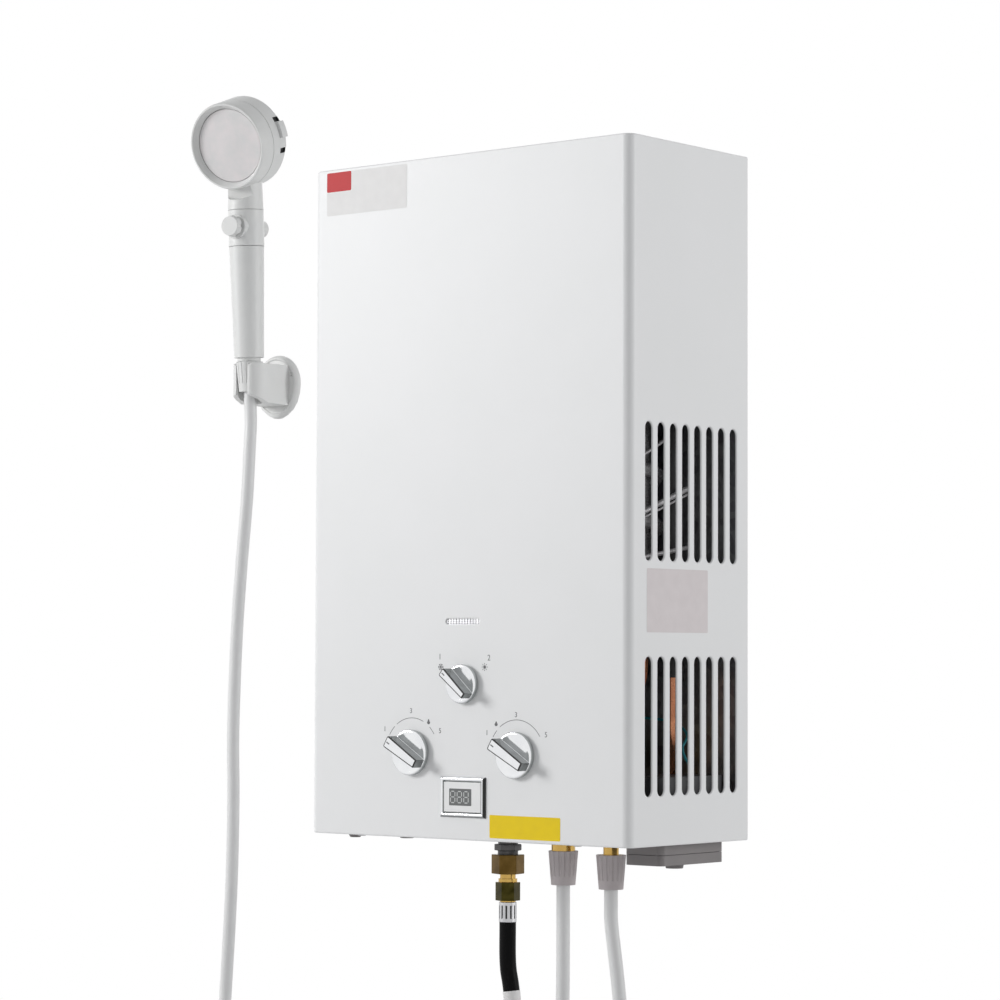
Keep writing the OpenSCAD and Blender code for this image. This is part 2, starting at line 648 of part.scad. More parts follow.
riser_x = batt_x0 - 2;
riser_y = -38;
hot_top = 14; // top of the hot outlet
module hot_pipe() color("darkorange") tube(smooth([[tube_end, -chamber_y + tube_gap, tube_z],
    [tube_end + 3, -chamber_y + tube_gap, tube_z], [tube_end + 6, -chamber_y + tube_gap, tube_z],
    [riser_x - 5, riser_y - 10, tube_z - 7], [riser_x, riser_y, tube_z - 26],
    [riser_x, riser_y, 300], [riser_x, riser_y, 120], [riser_x, riser_y, 92], [riser_x - 5, riser_y + 11, 66],
    [riser_x - 18, riser_y + 15, 38], [riser_x - 42, riser_y + 15, 28], [hot_x + 26, riser_y + 15, 28],
    [hot_x + 7, riser_y + 10, 28], [hot_x, -port_y + 16, 28], [hot_x, -port_y + 6, 27],
    [hot_x, -port_y, hot_top + 7], [hot_x, -port_y, hot_top + 3.5], [hot_x, -port_y, hot_top]], 3), pipe_r, 10);

module flue_hood() color("lightgray") {
    low = chamber_w / 2 + 1;
    high = low - 14;
    h = roof_z - sheet - gap - hood_z;
    translate([0, -chamber_y + chamber_d / 2 + 1, hood_z]) rotate([90, 0, 0]) linear_extrude(chamber_d + 2)
        difference() {
            polygon([[-low, 0], [low, 0], [high, h], [-high, h]]);
            polygon([[1 - low, -eps], [low - 1, -eps], [high - 1, h + eps], [1 - high, h + eps]]);
        }
    for (y = [-chamber_d / 2, chamber_d / 2 + 1]) translate([0, -chamber_y + y, hood_z]) rotate([90, 0, 0])
        linear_extrude(1) polygon([[-low, 0], [low, 0], [high, h], [-high, h]]);
}

feed_run_z = rail_top - 12; // level of the gas feed's run under the burner
module gas_manifold() color("goldenrod") difference() {
    union() {
        block([-frame_w, -manifold_y - manifold_w / 2, burner_z - manifold_w / 2],
            [frame_w, -manifold_y + manifold_w / 2, burner_z + manifold_w / 2]);
        for (i = [0 : bar_n - 1]) forward([bar_x(i), -chamber_y - bar_len / 2 - gap, burner_z], 2,
            manifold_y - chamber_y - bar_len / 2);
        forward([0, -manifold_y, season_z], spindle_r + 5, manifold_w / 2 + 5);
        upright(gas_x, -port_y, gas_high, feed_run_z, pipe_r, pipe_r);
        translate([gas_x, -port_y, feed_run_z]) sphere(pipe_r, $fn = 32);
        forward([gas_x, -port_y, feed_run_z], pipe_r, manifold_y - port_y);
        translate([gas_x, -manifold_y, feed_run_z]) sphere(pipe_r, $fn = 32);
        upright(gas_x, -manifold_y, feed_run_z, burner_z, pipe_r, pipe_r);
    }
    forward([0, -manifold_y + 2, season_z], spindle_r + run, 30);
}

// ---------- valves ----------

module spindle_boss(x) forward([x, valve_front + 1, knob_z], spindle_r + 7, 17);
module spindle_bore(x) forward([x, valve_front + 12, knob_z], spindle_r + run, 40);

module gas_valve_body() color("darkgray") difference() {
    union() {
        block([gas_x - 42, valve_front, gas_low], [gas_right, -port_y + body_half, gas_high]);
        spindle_boss(-knob_x);
    }
    spindle_bore(-knob_x);
    across([gas_right - 16, -port_y, rod_z], rod_r + run, 30);
}

module solenoid_valve() color("dimgray") {
    across([gas_x - 70, -port_y, 60], 13, 28 - gap);
    across([gas_x - 42 - gap - 5, -port_y, 60], 16, 5);
}

module water_valve_body() color("goldenrod") difference() {
    union() {
        block([water_left, valve_front, 36], [cold_x + 16, -port_y + body_half, 94]);
        across([house_left, -port_y, rod_z], house_r, 13 - gap / 2);
        across([house_left + 13 + gap / 2, -port_y, rod_z], house_r, 13);
        across([house_left + 12, -port_y, rod_z], house_r - 6, 4);
        across([house_left + 20, -port_y, rod_z], 12, water_left - house_left - 19);
        upright(cold_x, -port_y, 93, cold_top, 8, 8);
        spindle_boss(knob_x);
        upright(cold_x, -port_y, cold_thread_z, 37, cold_neck_r, cold_neck_r);
        upright(cold_x, -port_y, cold_thread_z - stub_in, cold_thread_z + 0.2, thread_r, thread_r);
    }
    spindle_bore(knob_x);
    across([house_left - eps, -port_y, rod_z], rod_r + run, 12 + eps);
}

module hot_outlet() color("goldenrod") {
    upright(hot_x, -port_y, -cone_drop - stub_in, hot_top, thread_r, thread_r);
    hexagon(hot_x, -port_y, deck_z + sheet + gap, deck_z + sheet + 7, 2 * thread_r + 5);
}

module push_rod() color("silver") {
    across([gas_right - 8, -port_y, rod_z], rod_r, house_left + 10 - gas_right + 8);
    across([arm_x + 0.5 + gap, -port_y, rod_z], 7, 2.5);
}

module micro_switch() color("black") {
    block([gas_right + gap, -port_y - 6, 78], [-12, -port_y + 6, 97.5]);
    for (s = [-1, 1]) difference() {
        block([-13, -port_y + s * 4.65 - 1.35, 81], [arm_x + 3.5, -port_y + s * 4.65 + 1.35, 91]);
        forward([arm_x, -port_y + 8, arm_pivot_z], 1.5 + run, 16);
    }
}

module switch_arm() color("silver") {
    block([arm_x - 0.5, -port_y - 3, 68.5], [arm_x + 0.5, -port_y + 3, arm_pivot_z + 2]);
    forward([arm_x, -port_y + 6, arm_pivot_z], 1.5, 12);
}

module igniter_box() color("dimgray") {
    block([-152, -pan_t - gap - 27, 112], [-106, -pan_t - gap, 172]);
    block([-146, -pan_t - gap - 31, 118], [-112, -pan_t - gap - 27, 166]);
}

electrode_gap = (bar_n % 2 == 0 ? 1 : 0.5) * bar_pitch; // each electrode stands between two bars
electrode_x = [-electrode_gap, electrode_gap];
electrode_y = -chamber_y - bar_len / 2 - 2 - frame_t;
module electrodes() color("ivory") for (x = electrode_x) {
    forward([x, electrode_y - gap, frame_top - 8], 3, 14);
    forward([x, electrode_y + 7, frame_top - 8], 1, 12);
}

wire_r = 1.2;
wire_y = front_in + 10.2; // the spark wires run behind the front panel here
plug_in = [batt_mid_x + 1, batt_y1 - 24]; // where the battery lead comes up
igniter_front = -pan_t - gap - 31;
spark_z = frame_top - 8;
spark_x = [-142, -120]; // where the spark wires leave the igniter box
module wiring() {
    color("cyan") tube(smooth([[-106, -20, 140], [-103, -20, 140], [-100, -20, 140], [-93, -22, 124],
        [-84, -25, 108], [-66, -28, 104], [0, -28, 104], [70, -26, 104],
        [plug_in[0] - 43, -21, 102], [plug_in[0] - 25, -20, 96], [plug_in[0] - 13, plug_in[1] + 14, 88],
        [plug_in[0] - 11, plug_in[1] + 4, 80], [plug_in[0] - 5, plug_in[1] - 1, 71],
        for (rise = [8, 5, 2.5, 0]) [plug_in[0], plug_in[1], batt_rise + rise]], 2), wire_r, 6);
    color("firebrick") for (i = [0, 1]) tube(smooth([
        for (out = [0, 5, 10]) [spark_x[i], igniter_front - out, 160],
        [-140 + 20 * i, -70, 164 + 4 * i], [-132 + 12 * i, -120, 172 + 4 * i],
        [-114 + 8 * i, wire_y + 7, 172 + 7 * i], [-80, wire_y, spark_z + 7 * i],
        [electrode_x[i] - 16, wire_y, spark_z + 3 * i], [electrode_x[i] - 3, wire_y, spark_z + i],
        [electrode_x[i], wire_y + 3, spark_z], [electrode_x[i], wire_y + 6, spark_z],
        [electrode_x[i], electrode_y - gap - 14, spark_z]], 2), wire_r, 6);
    color("black") tube(smooth([[-17, -port_y + 6, 92], [-17, -port_y + 8, 92], [-17, -port_y + 10, 92],
        [-20, -42, 98], [-34, -34, 106], [-64, -34, 108], [-90, -30, 118], [-96, -24, 123],
        [-100, -24, 124], [-103, -24, 124], [-106, -24, 124]], 2), wire_r, 6);
}

// ---------- front panel ----------

module display_frame() color("silver") difference() {
    union() {
        block([-disp_w / 2, -case_d - disp_t, disp_z - disp_h / 2], [disp_w / 2, -case_d, disp_z + disp_h / 2]);
        block([-disp_w / 2 + 3 + gap, -case_d, disp_z - disp_h / 2 + 3 + gap],
            [disp_w / 2 - 3 - gap, front_in + 8, disp_z + disp_h / 2 - 3 - gap]);
    }
    block([-disp_w / 2 + 4.5, -case_d - disp_t - eps, disp_z - disp_h / 2 + 4.5],
        [disp_w / 2 - 4.5, front_in + 9, disp_z + disp_h / 2 - 4.5]);
}

module display_module() color("white")
    block([-disp_w / 2 + 4.5 + gap, -case_d - disp_t + 0.8, disp_z - disp_h / 2 + 4.5 + gap],
        [disp_w / 2 - 4.5 - gap, front_in + 9, disp_z + disp_h / 2 - 4.5 - gap]);

knob_back = -case_d - 0.6; // rear face of the knobs' discs
// Knob with its pointer level, to the right; the hub reaches through the cover
module knob(dia, hub, tip_w, tail_w) {
    r = dia / 2;
    difference() {
        union() {
            forward([0, knob_back, 0], r, knob_t);
            forward([0, knob_back + 8, 0], hub, 8 + knob_t / 2);
        }
        forward([0, knob_back + 8 + eps, 0], spindle_r + run, 10 + eps);
    }
    translate([0, knob_back - knob_t, 0]) rotate([90, 0, 0]) linear_extrude(grip_h) {
        polygon([[0.8 - r, -tail_w / 2], [r - 1, -tip_w / 2], [r, -tip_w / 2 + 1], [r, tip_w / 2 - 1],
            [r - 1, tip_w / 2], [0.8 - r, tail_w / 2]]);
    }
}

module knob_at(x, z, angle) translate([x, 0, z]) rotate([0, -angle, 0]) children();

module gas_knob() color("white") knob_at(-knob_x, knob_z, knob_angle) knob(knob_dia, hub_r, 11, 8);
module water_knob() color("white") knob_at(knob_x, knob_z, knob_angle) knob(knob_dia, hub_r, 11, 8);
module season_knob() color("white") knob_at(0, season_z, season_angle) knob(season_dia, season_hub_r, 8.2, 5.6);

shaft_front = knob_back - 1.7;
module spindle(x, back, z) color("silver") forward([x, back, z], spindle_r, back - shaft_front);
module gas_spindle() spindle(-knob_x, valve_front + 10, knob_z);
module water_spindle() spindle(knob_x, valve_front + 10, knob_z);
module season_spindle() spindle(0, 1 - manifold_y, season_z);

// ---------- battery box ----------

hinge_y = batt_y1 - hinge_r;
hinge_z = seam_z - hinge_r - gap;

module box_outline(inset) {
    w = batt_w / 2 - inset;
    l = batt_len / 2 - inset;
    r = 6 - inset;
    translate([batt_mid_x, batt_mid_y]) {
        square([2 * w, 2 * (l - r)], center = true);
        square([2 * (w - r), 2 * l], center = true);
        for (sx = [-1, 1], sy = [-1, 1]) translate([sx * (w - r), sy * (l - r)]) circle(r, $fn = 32);
    }
}

module battery_box() color("rosybrown") {
    difference() {
        translate([0, 0, seam_z]) linear_extrude(batt_rise - seam_z) box_outline(0);
        translate([0, 0, seam_z - eps]) linear_extrude(batt_rise - seam_z - batt_wall + eps)
            box_outline(batt_wall);
    }
    translate([0, 0, deck_z + sheet + gap]) linear_extrude(1.5) difference() {
        box_outline(-2.5);
        box_outline(0);
    }
    for (s = [-1, 1]) difference() {
        block([batt_mid_x + s * 10 - 2, batt_y1 - 2 * hinge_r + gap, hinge_z - hinge_r + gap],
            [batt_mid_x + s * 10 + 2, batt_y1 - gap, seam_z + 4]);
        across([batt_mid_x + s * 10 - 3, hinge_y, hinge_z], pin_r + run, 6);
    }
}

module battery_lid() color("rosybrown") {
    difference() {
        union() {
            difference() {
                translate([0, 0, -batt_drop]) linear_extrude(lid_h - gap) box_outline(0);
                translate([0, 0, -batt_drop + batt_wall]) linear_extrude(lid_h) box_outline(batt_wall);
                block([batt_x0 - eps, hinge_y, hinge_z], [batt_x1 + eps, batt_y1 + eps, seam_z]);
            }
            across([batt_x0 + 4, hinge_y, hinge_z], hinge_r, batt_w - 8);
        }
        upright(batt_mid_x, batt_mid_y, -batt_drop - eps, -batt_drop + 3, 3 + run, 3 + run);
        for (s = [-1, 1])
            block([batt_mid_x + s * 10 - 2 - gap, batt_y1 - 2 * hinge_r - gap, -batt_drop - eps],
                [batt_mid_x + s * 10 + 2 + gap, batt_y1 + 1, seam_z]);
    }
    across([batt_mid_x - 14, hinge_y, hinge_z], pin_r, 28);
}

cell_gap = 36.5; // from one cell's axis to the other's
cell_top = batt_rise - batt_wall - 2.5;
module batteries() color("darkslategray") for (y = [-cell_gap / 2, cell_gap / 2]) {
    upright(batt_mid_x, batt_mid_y + y, cell_top - cell_len, cell_top, cell_r, cell_r);
    upright(batt_mid_x, batt_mid_y + y, cell_top, batt_rise - batt_wall - gap, 4.5, 4.5);
}

module lid_knob() color("gray") {
    upright(batt_mid_x, batt_mid_y, -batt_drop - 4.3, -batt_drop - gap, 7.4, 8);
    upright(batt_mid_x, batt_mid_y, -batt_drop - gap, -batt_drop + 6, 3, 3);
    block([batt_mid_x - 7, batt_mid_y - 2.5, -batt_drop + batt_wall + gap],
        [batt_mid_x + 7, batt_mid_y + 2.5, -batt_drop + 4]);
}

// ---------- gas connection ----------

module gas_adapter() color("dimgray") {
    upright(gas_x, -port_y, flange_z - 0.2, gas_low, neck_r, neck_r);
    hexagon(gas_x, -port_y, flange_z - flange_h, flange_z, 21.2);
    upright(gas_x, -port_y, union_z - 12, flange_z - flange_h, 9, 9);
}

module gas_union_nut() color("goldenrod") difference() {
    hexagon(gas_x, -port_y, tail_z, union_z, union_af);
    upright(gas_x, -port_y, union_z - 12 - gap, union_z + eps, 9 + run, 9 + run);
    upright(gas_x, -port_y, tail_z - eps, union_z, 5 + run, 5 + run);
}

module gas_hose_tail() color("darkgoldenrod") {
    upright(gas_x, -port_y, tail_z - 1, union_z - 12 - gap, 5, 5);
    upright(gas_x, -port_y, hex_z - 1, tail_z - gap, 7, 7);
    upright(gas_x, -port_y, hex_z + 0.2, hex_z + 3.2, 8.4, 8.4);
    hexagon(gas_x, -port_y, hex_z - hex_h, hex_z, tail_af);
    upright(gas_x, -port_y, sleeve_z, hex_z - hex_h + 1, 7, 7);
    upright(gas_x, -port_y, sleeve_z - 12, sleeve_z + 1, 4, 4);
}

module gas_sleeve() color("silver") difference() {
    upright(gas_x, -port_y, hose_z, sleeve_z - gap, sleeve_r, sleeve_r);
    upright(gas_x, -port_y, sleeve_z - 12 - gap, sleeve_z, 4 + run, 4 + run);
    for (i = [0 : 11]) translate([gas_x, -port_y, 0]) rotate([0, 0, 30 * i])
        block([sleeve_r - 0.5, -0.8, hose_z + 3], [sleeve_r + eps, 0.8, sleeve_z - 3]);
}

module gas_hose() color("black") tube(smooth(gas_free, 1), gas_hose_d / 2, 10);
module gas_hose_coil() color("black") tube(gas_coil, gas_hose_d / 2, 6);

reg_top = gas_end[2];
reg_r = 31;
reg_mid = reg_top - 26 - reg_r;
module regulator() color("dimgray") translate([gas_end[0], gas_end[1], 0]) {
    upright(0, 0, reg_top - 24, reg_top, 8, 8);
    forward([0, 17, reg_mid], reg_r, 15);
    forward([0, 2.2, reg_mid], reg_r + 2, 4.4);
    forward([0, -2, reg_mid], reg_r, 12);
    forward([0, -13, reg_mid], 12, 6);
    upright(0, 0, reg_mid, reg_top - 20, 9, 9);
    upright(0, 0, reg_mid - reg_r - 10, reg_mid, 9, 9);
    upright(0, 0, wheel_z - 7.8, reg_mid - reg_r, 6, 6);
    upright(0, 0, wheel_z - 7.8, wheel_z - 6 - gap, 8.5, 8.5);
}

wheel_z = reg_mid - reg_r - 11;
module regulator_handwheel() color("black") translate([gas_end[0], gas_end[1], 0]) difference() {
    union() {
        upright(0, 0, wheel_z - 28, wheel_z, 20, 20);
        for (i = [0 : 7]) rotate([0, 0, 45 * i]) upright(19, 0, wheel_z - 28, wheel_z, 4, 4);
    }
    upright(0, 0, wheel_z - 28 - eps, wheel_z - 8.2, 15.5, 15.5);
    upright(0, 0, wheel_z - 8.2, wheel_z - 6, 16.2, 16.2);
    upright(0, 0, wheel_z - 8, wheel_z + eps, 6 + run, 6 + run);
}

// ---------- water connections ----------

// Cone nut whose narrow end is at a height
module cone_nut(x, y, z, len) difference() {
    upright(x, y, z, z + len, cone_narrow_r, cone_wide_r);
    upright(x, y, z + len - stub_in - 1, z + len + eps, thread_r + run, thread_r + run);
    for (i = [0 : 15]) translate([x, y, 0]) rotate([0, 0, 22.5 * i])
        translate([cone_narrow_r + 0.9, 0, z + 8]) rotate([0, atan((cone_wide_r - cone_narrow_r) / len), 0])
            cylinder(h = len, r = 0.8, $fn = 16);
}

module cone_nuts() color("whitesmoke") {
    cone_nut(hot_x, -port_y, cone_z, cone_len);
    cone_nut(cold_x, -port_y, cone_z - cold_extra, cone_len);
    hand_shower() cone_nut(0, 0, 0, nut_len);
}

module inlet_hose() color("white") tube(smooth(inlet_free, 1), water_hose_d / 2, 10);
module inlet_hose_coil() color("white") tube(inlet_coil, water_hose_d / 2, 6);

tap_len = 24;
module tap_tail() color("gray") translate([inlet_end[0], inlet_end[1], 0]) {
    upright(0, 0, inlet_end[2] - 14, inlet_end[2], 8.2, 8.2);
    upright(0, 0, inlet_end[2] - 24, inlet_end[2] - 13, 6, 6);
    upright(0, 0, inlet_end[2] - 26, inlet_end[2] - 23.5, 9.5, 9.5);
}

tap_top = inlet_end[2] - 15;
module tap_nut() color("dimgray") translate([inlet_end[0], inlet_end[1], 0]) difference() {
    union() {
        upright(0, 0, tap_top - tap_len, tap_top, 15.6, 15.6);
        for (i = [0 : 11]) rotate([0, 0, 30 * i]) upright(15.2, 0, tap_top - tap_len, tap_top - 3, 1.6, 1.6);
    }
    upright(0, 0, tap_top - tap_len - eps, tap_top - 11.2, 13, 13);
    upright(0, 0, tap_top - 11.2, tap_top - 8.5 + gap, 13.6, 13.6);
    upright(0, 0, tap_top - 9, tap_top + eps, 6 + run, 6 + run);
}

module shower_hose() color("white") tube(smooth(shower_free, 2), water_hose_d / 2, 10);

// ---------- shower holder ----------

plate_z = 420; // middle of the plate's round top
plate_floor = 5; // thickness of the plate inside its rim
hole_rise = 9.6; // height of the screw holes above the middle of the round top
fork_front = seat_y + 11.5;
fork_low = seat_z - 12;
fork_high = seat_z + 27;
slot_half = 7.5;

// Shield outline of the plate, drawn in by an inset
module shield(inset) {
    r = plate_w / 2 - inset;
    translate([0, plate_z]) circle(r, $fn = 64);
    polygon([[-r, plate_z], [r, plate_z], [r - 1.5, plate_z - 11], [r - 5, plate_z - 19 + inset / 2],
        [r - 12, plate_z - 26 + inset], [2, plate_z - 33 + inset], [-2, plate_z - 33 + inset],
        [12 - r, plate_z - 26 + inset], [5 - r, plate_z - 19 + inset / 2], [1.5 - r, plate_z - 11]]);
}

// Plan of the fork: straight cheeks that close in towards the front
module fork_plan() polygon([[-17.5, -plate_floor / 2], [17.5, -plate_floor / 2], [18, -seat_y + 6],
    [17, -seat_y - 2], [14, -seat_y - 8.5], [11, -fork_front + 0.6], [9, -fork_front], [-9, -fork_front],
    [-11, -fork_front + 0.6], [-14, -seat_y - 8.5], [-17, -seat_y - 2], [-18, -seat_y + 6]]);

module shower_holder() color("whitesmoke") difference() {
    translate([-holder_x, 0, 0]) difference() {
        union() {
            difference() {
                rotate([90, 0, 0]) linear_extrude(plate_t) shield(0);
                translate([0, -plate_floor, 0]) rotate([90, 0, 0]) linear_extrude(plate_t) shield(2);
            }
            intersection() {
                translate([0, 0, fork_low]) linear_extrude(fork_high - fork_low) fork_plan();
                rotate([90, 0, 90]) translate([0, 0, -plate_w / 2]) linear_extrude(plate_w)
                    polygon([[0, fork_high + 1], [3 - fork_front, fork_high + 1], [-fork_front, fork_high - 2],
                        [-fork_front, fork_low + 8.5], [18 - fork_front, fork_low + 1], [0, fork_low]]);
            }
        }
        block([-slot_half, -seat_y - 40, seat_z - 20], [slot_half, -seat_y, fork_high + 1]);
        for (s = [-1, 1])
            forward([s * holder_hole_gap / 2, eps, plate_z + hole_rise], holder_hole_r, plate_t + 2 * eps);
    }
    hand_shower() {
        upright(0, 0, 0, nut_len, cone_narrow_r + gap, cone_wide_r + gap);
        upright(0, 0, -20, eps, cone_narrow_r + gap, cone_narrow_r + gap);
    }
}

// ---------- hand shower ----------

module hand_shower() translate([-holder_x, -seat_y, seat_z]) rotate([lean, 0, turn]) children();

module shower_grip() color("gainsboro") hand_shower() {
    upright(0, 0, nut_len - stub_in, nut_len + 1, thread_r, thread_r);
    upright(0, 0, nut_len + gap, grip_z, 11.2, 11.2);
    upright(0, 0, grip_z - 0.2, valve_z - gap / 2, grip_low_r, grip_top_r);
}

module shower_valve() color("gainsboro") hand_shower() difference() {
    union() {
        upright(0, 0, valve_z + gap / 2, neck_z - gap / 2, valve_r, valve_r);
        forward([0, 0, button_z], 11.5, boss_y);
        forward([0, valve_r + 1, button_z], 9, valve_r);
    }
    forward([0, 30, button_z], button_r + run, 60);
}

// Both ends of the stop valve's slide: the lobed knob in front and the button at the rear
module stop_button() color("white") hand_shower() {
    knob_y = boss_y + button_travel + gap;
    forward([0, 26, button_z], button_r, 26 + knob_y + 2);
    translate([0, -knob_y, button_z]) rotate([90, 0, 0]) difference() {
        cylinder(h = 6, r1 = 10.4, r2 = 9.2, $fn = round_fn);
        for (i = [0 : 5]) rotate([0, 0, 60 * i]) translate([12.6, 0, -eps]) cylinder(h = 7, r = 3.4, $fn = 32);
    }
    forward([0, 26, button_z], 8.4, 26 - valve_r - 1 - gap);
}

head_matrix = [0, -head_reach, face_z];
module at_head() hand_shower() translate(head_matrix) rotate([90 + head_tilt, 0, 0]) children();

// Spray head about its own axis: z = 0 is the rim, and the body lies below
module head_body() difference() {
    rotate_extrude($fn = 96) polygon([[0, -head_t], [head_big_r - 13, -head_t], [head_big_r - 6, -head_t + 1.4],
        [head_big_r - 2, -head_t + 4], [head_big_r, -head_t + 8], [head_r + 0.7, -18.3], [head_r + 0.2, -18.3],
        [head_r + 0.2, -17.7], [head_r + 0.6, -17.7], [head_r, -2], [head_r - 1, 0], [head_r - 2.5, 0],
        [plate_r + 0.6, -plate_depth + 0.5], [0, -plate_depth - 3]]);
    translate([0, 0, -plate_depth - 3]) cylinder(h = 10, r = plate_r + gap, $fn = 96);
    ring_part(head_big_r - 4, head_big_r + 5, lever_z - gap, lever_z + lever_w + gap,
        lever_angle - 24, lever_angle + 24);
}

lever_angle = 4.5; // height of the lever round the head, above its right side
lever_z = -head_t + 5;
lever_w = 10;
// Stretch of a ring round the head's axis
module ring_part(r0, r1, z0, z1, a0, a1) rotate([0, 0, a0]) translate([0, 0, z0])
    rotate_extrude(angle = a1 - a0, $fn = 96) translate([r0, 0]) square([r1 - r0, z1 - z0]);
module shower_head() color("gainsboro") {
    at_head() head_body();
    hand_shower() difference() {
        upright(0, 0, neck_z + gap / 2, neck_z + 40, valve_r, valve_r - 1);
        translate([0, 0, face_z]) translate([0, -head_reach, 0]) rotate([90 + head_tilt, 0, 0])
            translate([0, 0, -plate_depth - 4]) cylinder(h = 60, r = head_r + 10, $fn = 96);
    }
}

module spray_plate() color("lavenderblush") at_head() {
    translate([0, 0, -plate_depth - 3 + gap]) cylinder(h = 3, r = plate_r, $fn = 96);
    for (ring = [1 : 4], i = [0 : 5 * ring - 1]) rotate([0, 0, 360 * i / (5 * ring)])
        translate([ring * 7.4, 0, -plate_depth]) cylinder(h = 1.2, r = 0.9, $fn = 16);
}

module mode_lever() color("gainsboro") at_head() {
    ring_part(head_big_r - 3.7, head_big_r - 0.6, lever_z, lever_z + lever_w,
        lever_angle - 17.5, lever_angle + 17.5);
    ring_part(head_big_r - 1, head_big_r + 2.6, lever_z + 0.5, lever_z + lever_w - 0.5,
        lever_angle - 4, lever_angle + 16);
}

rear_pan();
front_cover();
top_deck();
bottom_deck();
case_screws();
sight_screen();
flue_hood();
fin_block();
exchanger_tubes();
combustion_chamber();
jacket_coil();
cold_pipe();
hot_pipe();
burner_frame();
burner_bars();
gas_manifold();
gas_valve_body();
solenoid_valve();
water_valve_body();
hot_outlet();
push_rod();
micro_switch();
switch_arm();
igniter_box();
electrodes();
wiring();
display_frame();
display_module();
gas_knob();
gas_spindle();
water_knob();
water_spindle();
season_knob();
season_spindle();
battery_box();
battery_lid();
batteries();
lid_knob();
blanking_plugs();
gas_adapter();
gas_union_nut();
gas_hose_tail();
gas_sleeve();
gas_hose();
gas_hose_coil();
regulator();
regulator_handwheel();
cone_nuts();
inlet_hose();
inlet_hose_coil();
tap_tail();
tap_nut();
shower_hose();
shower_holder();
shower_grip();
shower_valve();
stop_button();
shower_head();
spray_plate();
mode_lever();
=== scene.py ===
# Looks for a wall-hung portable gas water heater with its hand shower.
# Sizes in the dictionaries are millimetres in the part's own frame: x across the front,
# -y towards the user, z up from the casing's bottom edge. Angles are degrees.
import json
import math

import bpy
from mathutils import Matrix, Vector

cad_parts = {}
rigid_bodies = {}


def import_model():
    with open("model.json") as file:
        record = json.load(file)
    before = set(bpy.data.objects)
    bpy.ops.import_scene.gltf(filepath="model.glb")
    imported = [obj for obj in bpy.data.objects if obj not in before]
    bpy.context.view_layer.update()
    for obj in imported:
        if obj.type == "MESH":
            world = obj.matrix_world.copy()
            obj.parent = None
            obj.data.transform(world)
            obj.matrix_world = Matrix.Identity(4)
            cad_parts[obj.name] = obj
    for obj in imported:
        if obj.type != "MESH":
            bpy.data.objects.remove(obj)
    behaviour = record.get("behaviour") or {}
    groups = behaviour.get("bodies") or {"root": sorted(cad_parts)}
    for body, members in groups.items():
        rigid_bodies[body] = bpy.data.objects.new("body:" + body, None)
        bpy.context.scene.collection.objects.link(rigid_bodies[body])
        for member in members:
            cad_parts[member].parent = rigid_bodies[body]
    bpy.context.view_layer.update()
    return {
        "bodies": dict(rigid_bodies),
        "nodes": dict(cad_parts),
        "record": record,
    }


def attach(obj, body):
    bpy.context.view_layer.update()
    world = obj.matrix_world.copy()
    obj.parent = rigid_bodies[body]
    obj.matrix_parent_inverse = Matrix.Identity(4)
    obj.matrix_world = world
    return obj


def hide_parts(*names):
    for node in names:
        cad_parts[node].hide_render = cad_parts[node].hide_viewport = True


mm = 0.001
tiny = 0.000001
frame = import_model()
nodes = frame["nodes"]


def at(x, y, z):
    return Vector((x, y, z)) * mm


camera = {  # solved from the casing's corners in the photo, its place in metres
    "lens": 115.007, "sensor": 36, "far": 60,
    "place": (1.76028, -2.26098, 0.15558), "azimuth": 39.4307, "climb": 2.8257, "roll": 0.2077,
}


def setCamera():
    turn, climb, roll = (math.radians(camera[k]) for k in ("azimuth", "climb", "roll"))
    level = math.cos(climb)
    ahead = Vector((-math.sin(turn) * level, math.cos(turn) * level, math.sin(climb)))
    right = Vector((math.cos(turn), math.sin(turn), 0))
    up = right.cross(ahead)
    side = right * math.cos(roll) + up * math.sin(roll)
    top = up * math.cos(roll) - right * math.sin(roll)
    bpy.ops.object.camera_add(location=camera["place"])
    body = bpy.context.object
    body.name = "photoCamera"
    body.data.lens = camera["lens"]
    body.data.sensor_width = camera["sensor"]
    body.data.clip_end = camera["far"]
    body.rotation_mode = "QUATERNION"
    body.rotation_quaternion = Matrix((side, top, -ahead)).transposed().to_quaternion()
    bpy.context.scene.camera = body


setCamera()
print("camera set")

studio = {  # in metres and watts
    "floorZ": -0.62, "floorRadius": 6.0, "floorSides": 96,
    "floorColour": (0.78, 0.78, 0.78, 1), "floorRoughness": 0.9,
    "floorFade": (0.5, 1.6),  # between these distances the paper runs out into white
    "ambient": (0.97, 0.985, 1.0, 1), "ambientStrength": 0.42,
    "lamps": [
        # name, place, aimed at, size, watts
        ("keyLamp", (-2.7, -2.6, 1.3), (-0.1, -0.1, 0.1), 1.4, 80),
        ("fillLamp", (2.8, 1.5, 0.9), (0.1, 0.0, 0.25), 1.7, 33),
        ("backLamp", (-1.6, 2.4, 1.6), (0.0, 0.0, 0.25), 1.6, 14),
    ],
}


def addNode(tree, kind, **values):
    node = tree.nodes.new(kind)
    for socket, value in values.items():
        node.inputs[socket].default_value = value
    return node


def newPaint(name):
    paint = bpy.data.materials.new(name)
    paint.use_nodes = True
    return paint, paint.node_tree, paint.node_tree.nodes["Principled BSDF"]


def addMath(tree, operation, first, second, clamp=False):
    step = tree.nodes.new("ShaderNodeMath")
    step.operation = operation
    step.use_clamp = clamp
    tree.links.new(first, step.inputs[0])
    tree.links.new(second, step.inputs[1])
    return step.outputs[0]


